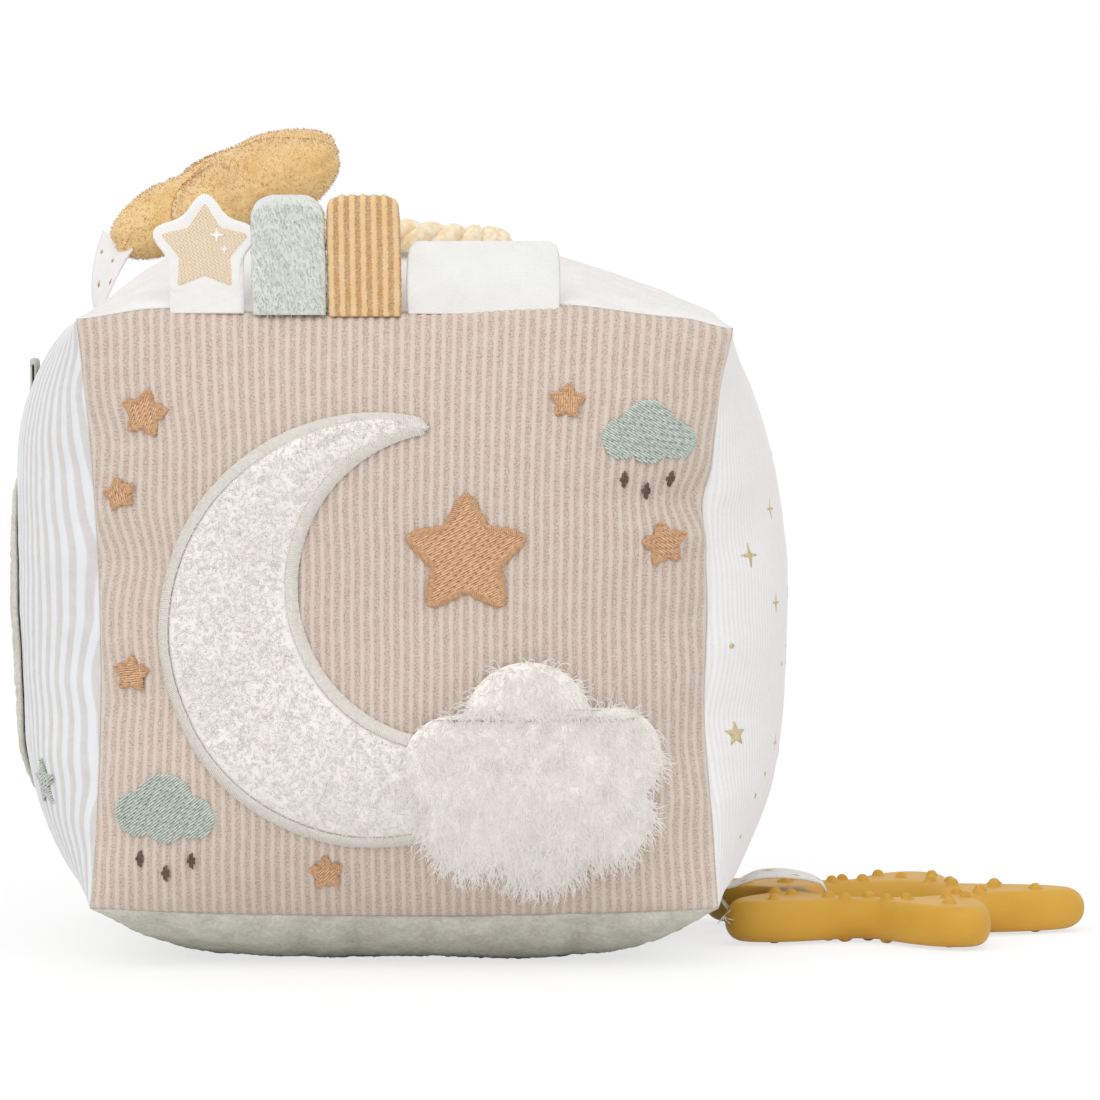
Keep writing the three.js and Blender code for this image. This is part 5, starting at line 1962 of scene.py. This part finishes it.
@dataclass
class Teether:
    """The silicone star ring with its nubs, and the ribbon loop that holds it."""

    side: float = 101.5
    back: float = 9.8
    turn: float = 4.4
    waist: float = 24.7
    reach: float = 43.4
    hole: float = 14.5
    thickness: float = 8.6
    rounding: float = 4.2
    nub_radius: float = 1.3
    nub_height: float = 1.3
    stand: float = 0.65
    nubs: int = 32
    nub_rows: tuple[float, float] = (0.36, 0.66)
    steps: int = 520
    arc_steps: int = 17
    flat_steps: int = 36
    ribbon_width: float = 10.0
    ribbon_length: float = 72.0
    ribbon_half: float = 0.225
    ribbon_shares: tuple[tuple[float, float], ...] = (
        (0, 2), (0.16, 0.9), (0.34, 0.12), (0.55, 0.01), (0.78, 0.02), (0.91, 0.22), (1, 1), (0.97, 1.9),
        (0.78, 2.25), (0.44, 2.3), (0.14, 1.85))
    ribbon_tilt: float = -10.0
    print_places: tuple[tuple[float, float, float], ...] = (
        (-3.0, 0.60, 1.0), (1.5, 0.66, 0.7), (-2.2, 0.74, 0.8), (2.6, 0.8, 1.0), (-3.2, 0.86, 0.7), (0.4, 0.91, 0.9),
        (3.0, 0.54, 0.8))

    def outline(self, angle: Array) -> Array:
        """Distance from the ring's middle to its outer edge."""
        full = (1 + np.cos(5 * angle)) / 2
        return self.waist + (self.reach - self.waist) * full ** 1.5

    def section(self) -> tuple[Array, Array]:
        """Share across the ring and angle of the rounding for each point of the ring's section."""
        arc = np.linspace(-math.pi / 2, math.pi / 2, self.arc_steps)
        flat = (1 - np.cos(np.linspace(0, math.pi, self.flat_steps + 2)[1:-1])) / 2
        share = np.concatenate([np.ones_like(arc), 1 - flat, np.zeros_like(arc), flat])
        angle = np.concatenate([arc, np.full_like(flat, math.pi / 2), arc + math.pi,
                                np.full_like(flat, 1.5 * math.pi)])
        return share[::-1], angle[::-1]

    def nub_places(self) -> list[tuple[float, float]]:
        """Places of the nubs on the ring's flat faces, clear of the ribbon."""
        places = []
        for k in range(self.nubs):
            angle = 2 * math.pi * (k + 0.5) / self.nubs
            radius = self.hole + (float(self.outline(np.array(angle))) - self.hole) * self.nub_rows[k % 2]
            off = abs(math.atan2(math.sin(angle - math.pi), math.cos(angle - math.pi)))
            if radius * off > self.ribbon_width / 2 + self.nub_radius:
                places.append((radius * math.cos(angle), radius * math.sin(angle)))
        return places

    def ring(self) -> None:
        """Makes the star ring."""
        turn = np.arange(self.steps) / self.steps * 2 * math.pi
        share, angle = self.section()
        outer = self.outline(turn)[:, None] - self.rounding
        inner = self.hole + self.rounding
        radius = inner + (outer - inner) * share + self.rounding * np.cos(angle)
        flat = self.thickness / 2 - self.rounding
        height = np.broadcast_to(np.sign(np.sin(angle)) * flat + self.rounding * np.sin(angle), radius.shape)
        x = radius * np.cos(turn)[:, None]
        y = radius * np.sin(turn)[:, None]
        for nub_x, nub_y in self.nub_places():
            away = np.hypot(x - nub_x, y - nub_y)
            bump = self.nub_height * np.clip(1 - (away / self.nub_radius) ** 2.4, 0, 1) ** 0.55
            height = height + np.where(np.sin(angle) > 0.5, bump, np.where(np.sin(angle) < -0.5, -0.5 * bump, 0.0))
        points = np.stack([x, y, height + self.stand + self.thickness / 2], axis=-1)
        seat = Matrix.Translation((self.side, self.back, 0.0)) @ Matrix.Rotation(math.radians(self.turn), 4, "Z")
        piece = fitted(tube("teether_ring", moved(points, seat)), "teether", "ochre_silicone", OCHRE_SILICONE)
        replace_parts(piece, "teether_star")

    def ribbon(self) -> None:
        """Makes the ribbon loop from the lower right seam round the ring and back."""
        half = self.ribbon_half
        notch = (self.waist + self.hole) / 2 * math.sin(math.radians(self.turn))
        back = self.back - notch
        seam = FORM.seam_point(np.array([1.0, 2 * back / FORM.depth, -1.0]))
        wall = math.sqrt(self.hole ** 2 - (self.ribbon_width / 2 + notch) ** 2)
        root = np.array([FORM.width_bottom / 2 + 0.9 + half, 1.5 * half])
        bend = np.array([self.side - wall + 0.6 + half, self.nub_height + self.thickness / 2])
        points = root + np.array(self.ribbon_shares, float) * (bend - root)
        points[0, 1] = seam[2] - 0.3
        line = closed_curve(points, 24)
        ahead = unit(np.roll(line, -1, axis=0) - np.roll(line, 1, axis=0))
        facing = np.stack([-ahead[:, 1], np.zeros(len(line)), ahead[:, 0]], axis=-1)
        arch = np.clip((line[:, 1] - 11.0) / 3.5, 0, 1)[:, None] * math.radians(self.ribbon_tilt)
        across = np.cos(arch) * np.array([0.0, 1.0, 0.0]) + np.sin(arch) * facing
        facing = unit(np.cross(across, np.insert(ahead, 1, 0.0, axis=1)) * -1.0)
        ribbon = Ribbon(np.insert(line, 1, back, axis=1), across, facing, self.ribbon_width)
        wide = np.linspace(-0.5, 0.5, 25) * self.ribbon_width
        upper, lower = (ribbon.middle[:, None] + side[None, :, None] * across[:, None] + facing[:, None] * lift
                        for side, lift in ((wide, half), (wide[::-1], -half)))
        rings = np.concatenate([upper, lower], axis=1)
        rings[..., 2] = np.maximum(rings[..., 2], 0.03)
        run = np.arange(len(line)) / len(line) * self.ribbon_length
        cloth = np.stack(np.meshgrid(np.concatenate([wide, wide[::-1]]), run), axis=-1)
        piece = tube("teether_ribbon_cloth", rings[:, ::-1], cloth[:, ::-1])
        fitted(piece, "teether_ribbon", "white_weave", WHITE_WEAVE)
        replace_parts(piece, "teether_ribbon")
        marks = [star_mark(size, 0.42, 0.05, 4, (side, share), 1 / self.ribbon_length)
                 for side, share, size in self.print_places]
        ribbon.prints("teether_ribbon_print", "teether_ribbon", marks, len(line), half + 0.02, GOLD_PRINT)

    def build(self) -> None:
        """Makes the ring and its ribbon."""
        self.ring()
        self.ribbon()


def closed_curve(points: Array, steps: int) -> Array:
    """Points along a smooth closed curve.

    Args:
        points: points that the curve runs through.
        steps: number of steps between two of them.

    Returns:
        The curve's points.
    """
    rows = []
    for index in range(len(points)):
        four = [points[(index + k) % len(points)] for k in (-1, 0, 1, 2)]
        knots = [0.0]
        for a, b in zip(four, four[1:]):
            knots.append(knots[-1] + max(float(np.linalg.norm(b - a)) ** 0.5, 1e-6))
        for t in np.linspace(knots[1], knots[2], steps, endpoint=False):
            level = list(four)
            for depth in (1, 2, 3):
                first = 1 if depth == 3 else 0
                span = 1 if depth == 3 else depth
                level = [((knots[k + first + span] - t) * level[k] + (t - knots[k + first]) * level[k + 1])
                         / (knots[k + first + span] - knots[k + first]) for k in range(len(level) - 1)]
            rows.append(level[0])
    return np.array(rows)


@dataclass
class Mirror:
    """The round mirror on the left side with its plush rim."""

    panel: Panel
    height: float = 65.0
    radius: float = 26.0
    rim: float = 33.7
    rise: float = 1.5

    def build(self) -> None:
        """Makes the rim and the film."""
        turn = (np.arange(240) / 240 * 2 * math.pi)[:, None]
        section = np.arange(40) / 40 * 2 * math.pi
        across = np.cos(section) * (self.rim - self.radius - 0.3) / 2
        lift = self.rise / 2 * (1 + np.sign(np.sin(section)) * np.abs(np.sin(section)) ** 0.8) + 0.15
        radius = (self.radius + 0.3 + self.rim) / 2 + across[None] + 0 * turn
        tuft = 0.22 * smooth_noise(turn * 24 + 0 * across, across[None] / 1.4 + 6, 81)
        points = self.panel.place(radius * np.cos(turn), self.height + radius * np.sin(turn),
                                  lift[None] + tuft * (np.sin(section) > 0))
        rim = fitted(tube("mirror_edge", points[:, ::-1]), "cube", "sage_plush", SAGE_PLUSH)
        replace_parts(rim, "mirror_rim")
        film = polar_patch("mirror_face", [disc_polygon(0.0, self.height, self.radius, 120)], (0.0, self.height), 24,
                           160, lambda share: (np.full_like(share, 0.8), np.full_like(share, 0.2)), self.panel.place)
        fitted(film, "cube", "mirror_film", MIRROR_FOIL)
        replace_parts(film, "mirror_film")


@dataclass
class SideMarks:
    """The small prints of the right panel, a stitched star on the left one and the loose threads of one corner."""

    right: Panel
    left: Panel
    spots: tuple[tuple[float, float, int, float], ...] = (
        (-52.0, 83.0, 4, 2.6), (-40.0, 92.0, 4, 2.2), (-43.0, 73.0, 4, 2.0), (-56.0, 47.0, 5, 2.7),
        (-49.0, 34.0, 0, 0.55), (-44.0, 38.0, 0, 0.45), (-38.0, 44.0, 4, 1.7), (-58.0, 65.0, 0, 0.5),
        (-35.0, 60.0, 0, 0.5), (-53.0, 26.0, 0, 0.5), (-30.0, 26.0, 4, 1.6))
    scattered: int = 46
    thread_ends: int = 9
    thread_root: tuple[float, float, float] = (65.4, -63.0, 10.8)

    def build(self) -> None:
        """Makes the marks."""
        rng = np.random.default_rng(5)
        spots = list(self.spots)
        for _ in range(self.scattered):
            spots.append((float(rng.uniform(-28, 58)), float(rng.uniform(22, 120)), int(rng.choice([0, 0, 4, 5])),
                          float(rng.uniform(1.4, 1.9))))
        marks = []
        for side, height, tips, size in spots:
            if tips:
                marks.append(star_mark(size, 0.24 if tips == 4 else 0.45, 0.08, tips, (side, height)))
            else:
                marks.append((disc_polygon(side, height, min(size, 0.5), 24), (side, height)))
        scatter = joined_marks("right_print", marks,
                               lambda side, height, lift: self.right.place(side, height, lift, True), 0.07)
        fitted(scatter, "cube", "white_cotton", GOLD_PRINT)
        rows = fill_stitches(self.left.place, [star_polygon(5.2, 2.5, 90, 0.7, 5, (47.0, 36.5))], 30)
        fitted(stitched("left_star", rows, 0.26, SAGE_THREAD), "cube", "sage_plush")
        self.loose_threads()

    def loose_threads(self) -> None:
        """Makes the thread ends at the lower right corner."""
        rng = np.random.default_rng(8)
        share = np.linspace(0, 1, 5)[:, None]
        rows = []
        for _ in range(self.thread_ends):
            way = np.array([rng.uniform(-0.2, 0.9), rng.uniform(-0.9, 0.1), rng.uniform(-0.6, 0.5)])
            curl = np.array([rng.uniform(-1, 1), rng.uniform(-1, 1), rng.uniform(-1, 1)]) * share ** 2 * 1.4
            rows.append(np.array(self.thread_root) + unit(way) * share * rng.uniform(1.2, 2.6) + 0.6 * curl)
        fitted(stitched("loose_threads", np.array(rows), 0.08, GREY_THREAD), "cube", "sage_plush")


def dress_inside() -> None:
    """Gives the hidden inner pieces their finishes."""
    for finish, slot, nodes in (
        (CLEAR_FILM, "clear_film", ("crinkle_film",)),
        (FILLING_FIBRE, "fibre_filling", ("filling_upper", "filling_lower", "plush_star_filling")),
        (WHITE_PLASTIC, "white_plastic", ("rattle_shell_upper", "rattle_shell_lower", "rattle_bead_1",
                                          "rattle_bead_2", "rattle_bead_3")),
    ):
        for node in nodes:
            dress(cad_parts[node], finish)


def seen_rays(graph: Graph, rays: Node) -> Socket:
    """Returns one for rays that show the surroundings, and zero for those that light the model."""
    seen = graph.math("MAXIMUM", rays.outputs["Is Camera Ray"], rays.outputs["Is Glossy Ray"])
    return graph.math("MAXIMUM", seen, rays.outputs["Is Transmission Ray"])


@dataclass
class Studio:
    """The floor, the lamp and the camera."""

    eye: tuple[float, float, float] = (30.6, -1265.0, 135.0)
    pixels: float = 1100.0
    focal_pixels: float = 6000.0
    horizon_pixels: float = 252.0
    sensor: float = 36.0
    view_limit: float = 20.0
    floor_size: float = 6000.0
    floor_colour: Colour = (0.93, 0.93, 0.93, 1.0)
    floor_glow: float = 0.12
    sky: float = 0.78
    shadow: float = 0.32
    shadow_reach: tuple[float, float] = (0.1, 0.3)
    lamp_strength: float = 0.95
    lamp_spread: float = 60.0
    lamp_turn: tuple[float, float, float] = (42.0, 0.0, -16.0)

    def build(self) -> None:
        """Makes the camera, the floor, the lamp and the world."""
        camera = bpy.data.cameras.new("camera")
        camera.sensor_width = self.sensor
        camera.lens = self.sensor * self.focal_pixels / self.pixels
        camera.clip_end = self.view_limit
        seat = shown("camera", camera)
        seat.location = Vector(self.eye) * MM
        seat.rotation_euler = Euler((math.pi / 2 - math.atan(self.horizon_pixels / self.focal_pixels), 0.0, 0.0))
        bpy.context.scene.camera = seat
        self.floor()
        self.lamp()
        self.world()
        bpy.context.scene.view_settings.view_transform = "Standard"

    def floor(self) -> None:
        """Makes the pale floor, with a shadow near the cube and plain white far from it."""
        corners = np.array([[-1, -1, 0.0], [1, -1, 0.0], [1, 1, 0.0], [-1, 1, 0.0]]) * self.floor_size / 2
        floor = mesh_piece("floor", corners, [np.array([[0, 1, 2, 3]])])
        material = bpy.data.materials.new("floor")
        material.use_nodes = True
        graph = Graph(material.node_tree)
        shader = graph.tree.nodes["Principled BSDF"]
        for key, value in {"Base Color": self.floor_colour, "Roughness": 1.0, "Specular IOR Level": 0.0}.items():
            shader.inputs[key].default_value = value
        away = graph.add("ShaderNodeVectorMath", {0: graph.object_place()}, operation="LENGTH").outputs["Value"]
        far = graph.math("MAXIMUM", graph.ramp(away, *self.shadow_reach), 1 - self.shadow)
        rays = graph.add("ShaderNodeLightPath")
        seen = graph.times(far, seen_rays(graph, rays))
        white = graph.first("ShaderNodeEmission", {"Color": WHITE, "Strength": 1.0})
        lift = graph.first("ShaderNodeEmission", {
            "Color": WHITE, "Strength": graph.times(rays.outputs["Is Camera Ray"], self.floor_glow)})
        lit = graph.first("ShaderNodeAddShader", {0: shader.outputs[0], 1: lift})
        both = graph.first("ShaderNodeMixShader", {0: seen, 1: lit, 2: white})
        graph.tree.links.new(both, graph.tree.nodes["Material Output"].inputs["Surface"])
        floor.data.materials.append(material)

    def lamp(self) -> None:
        """Makes one soft, wide lamp, far enough away to light the floor evenly."""
        lamp = bpy.data.lights.new("key", "SUN")
        lamp.energy = self.lamp_strength
        lamp.angle = math.radians(self.lamp_spread)
        shown("key", lamp).rotation_euler = Euler([math.radians(angle) for angle in self.lamp_turn])

    def world(self) -> None:
        """Makes the white surroundings, plain white where they are seen."""
        world = bpy.data.worlds.new("studio")
        world.use_nodes = True
        graph = Graph(world.node_tree)
        seen = seen_rays(graph, graph.add("ShaderNodeLightPath"))
        lit, plain = (graph.first("ShaderNodeBackground", {"Color": WHITE, "Strength": strength})
                      for strength in (self.sky, 1.0))
        both = graph.first("ShaderNodeMixShader", {0: seen, 1: lit, 2: plain})
        graph.tree.links.new(both, graph.tree.nodes["World Output"].inputs["Surface"])
        bpy.context.scene.world = world


def main() -> None:
    """Builds the studio and every piece in order."""
    logging.basicConfig(level=logging.INFO, format="%(name)s: %(message)s")
    Studio().build()
    cover = CubeCover()
    cover.build()
    FrontDesign(cover.front).build()
    TopTags().build()
    SideLoop().build()
    CordRing(cover.top).build()
    PlushStar().build()
    Teether().build()
    Mirror(cover.left).build()
    SideMarks(cover.right, cover.left).build()
    dress_inside()


if __name__ == "__main__":
    main()
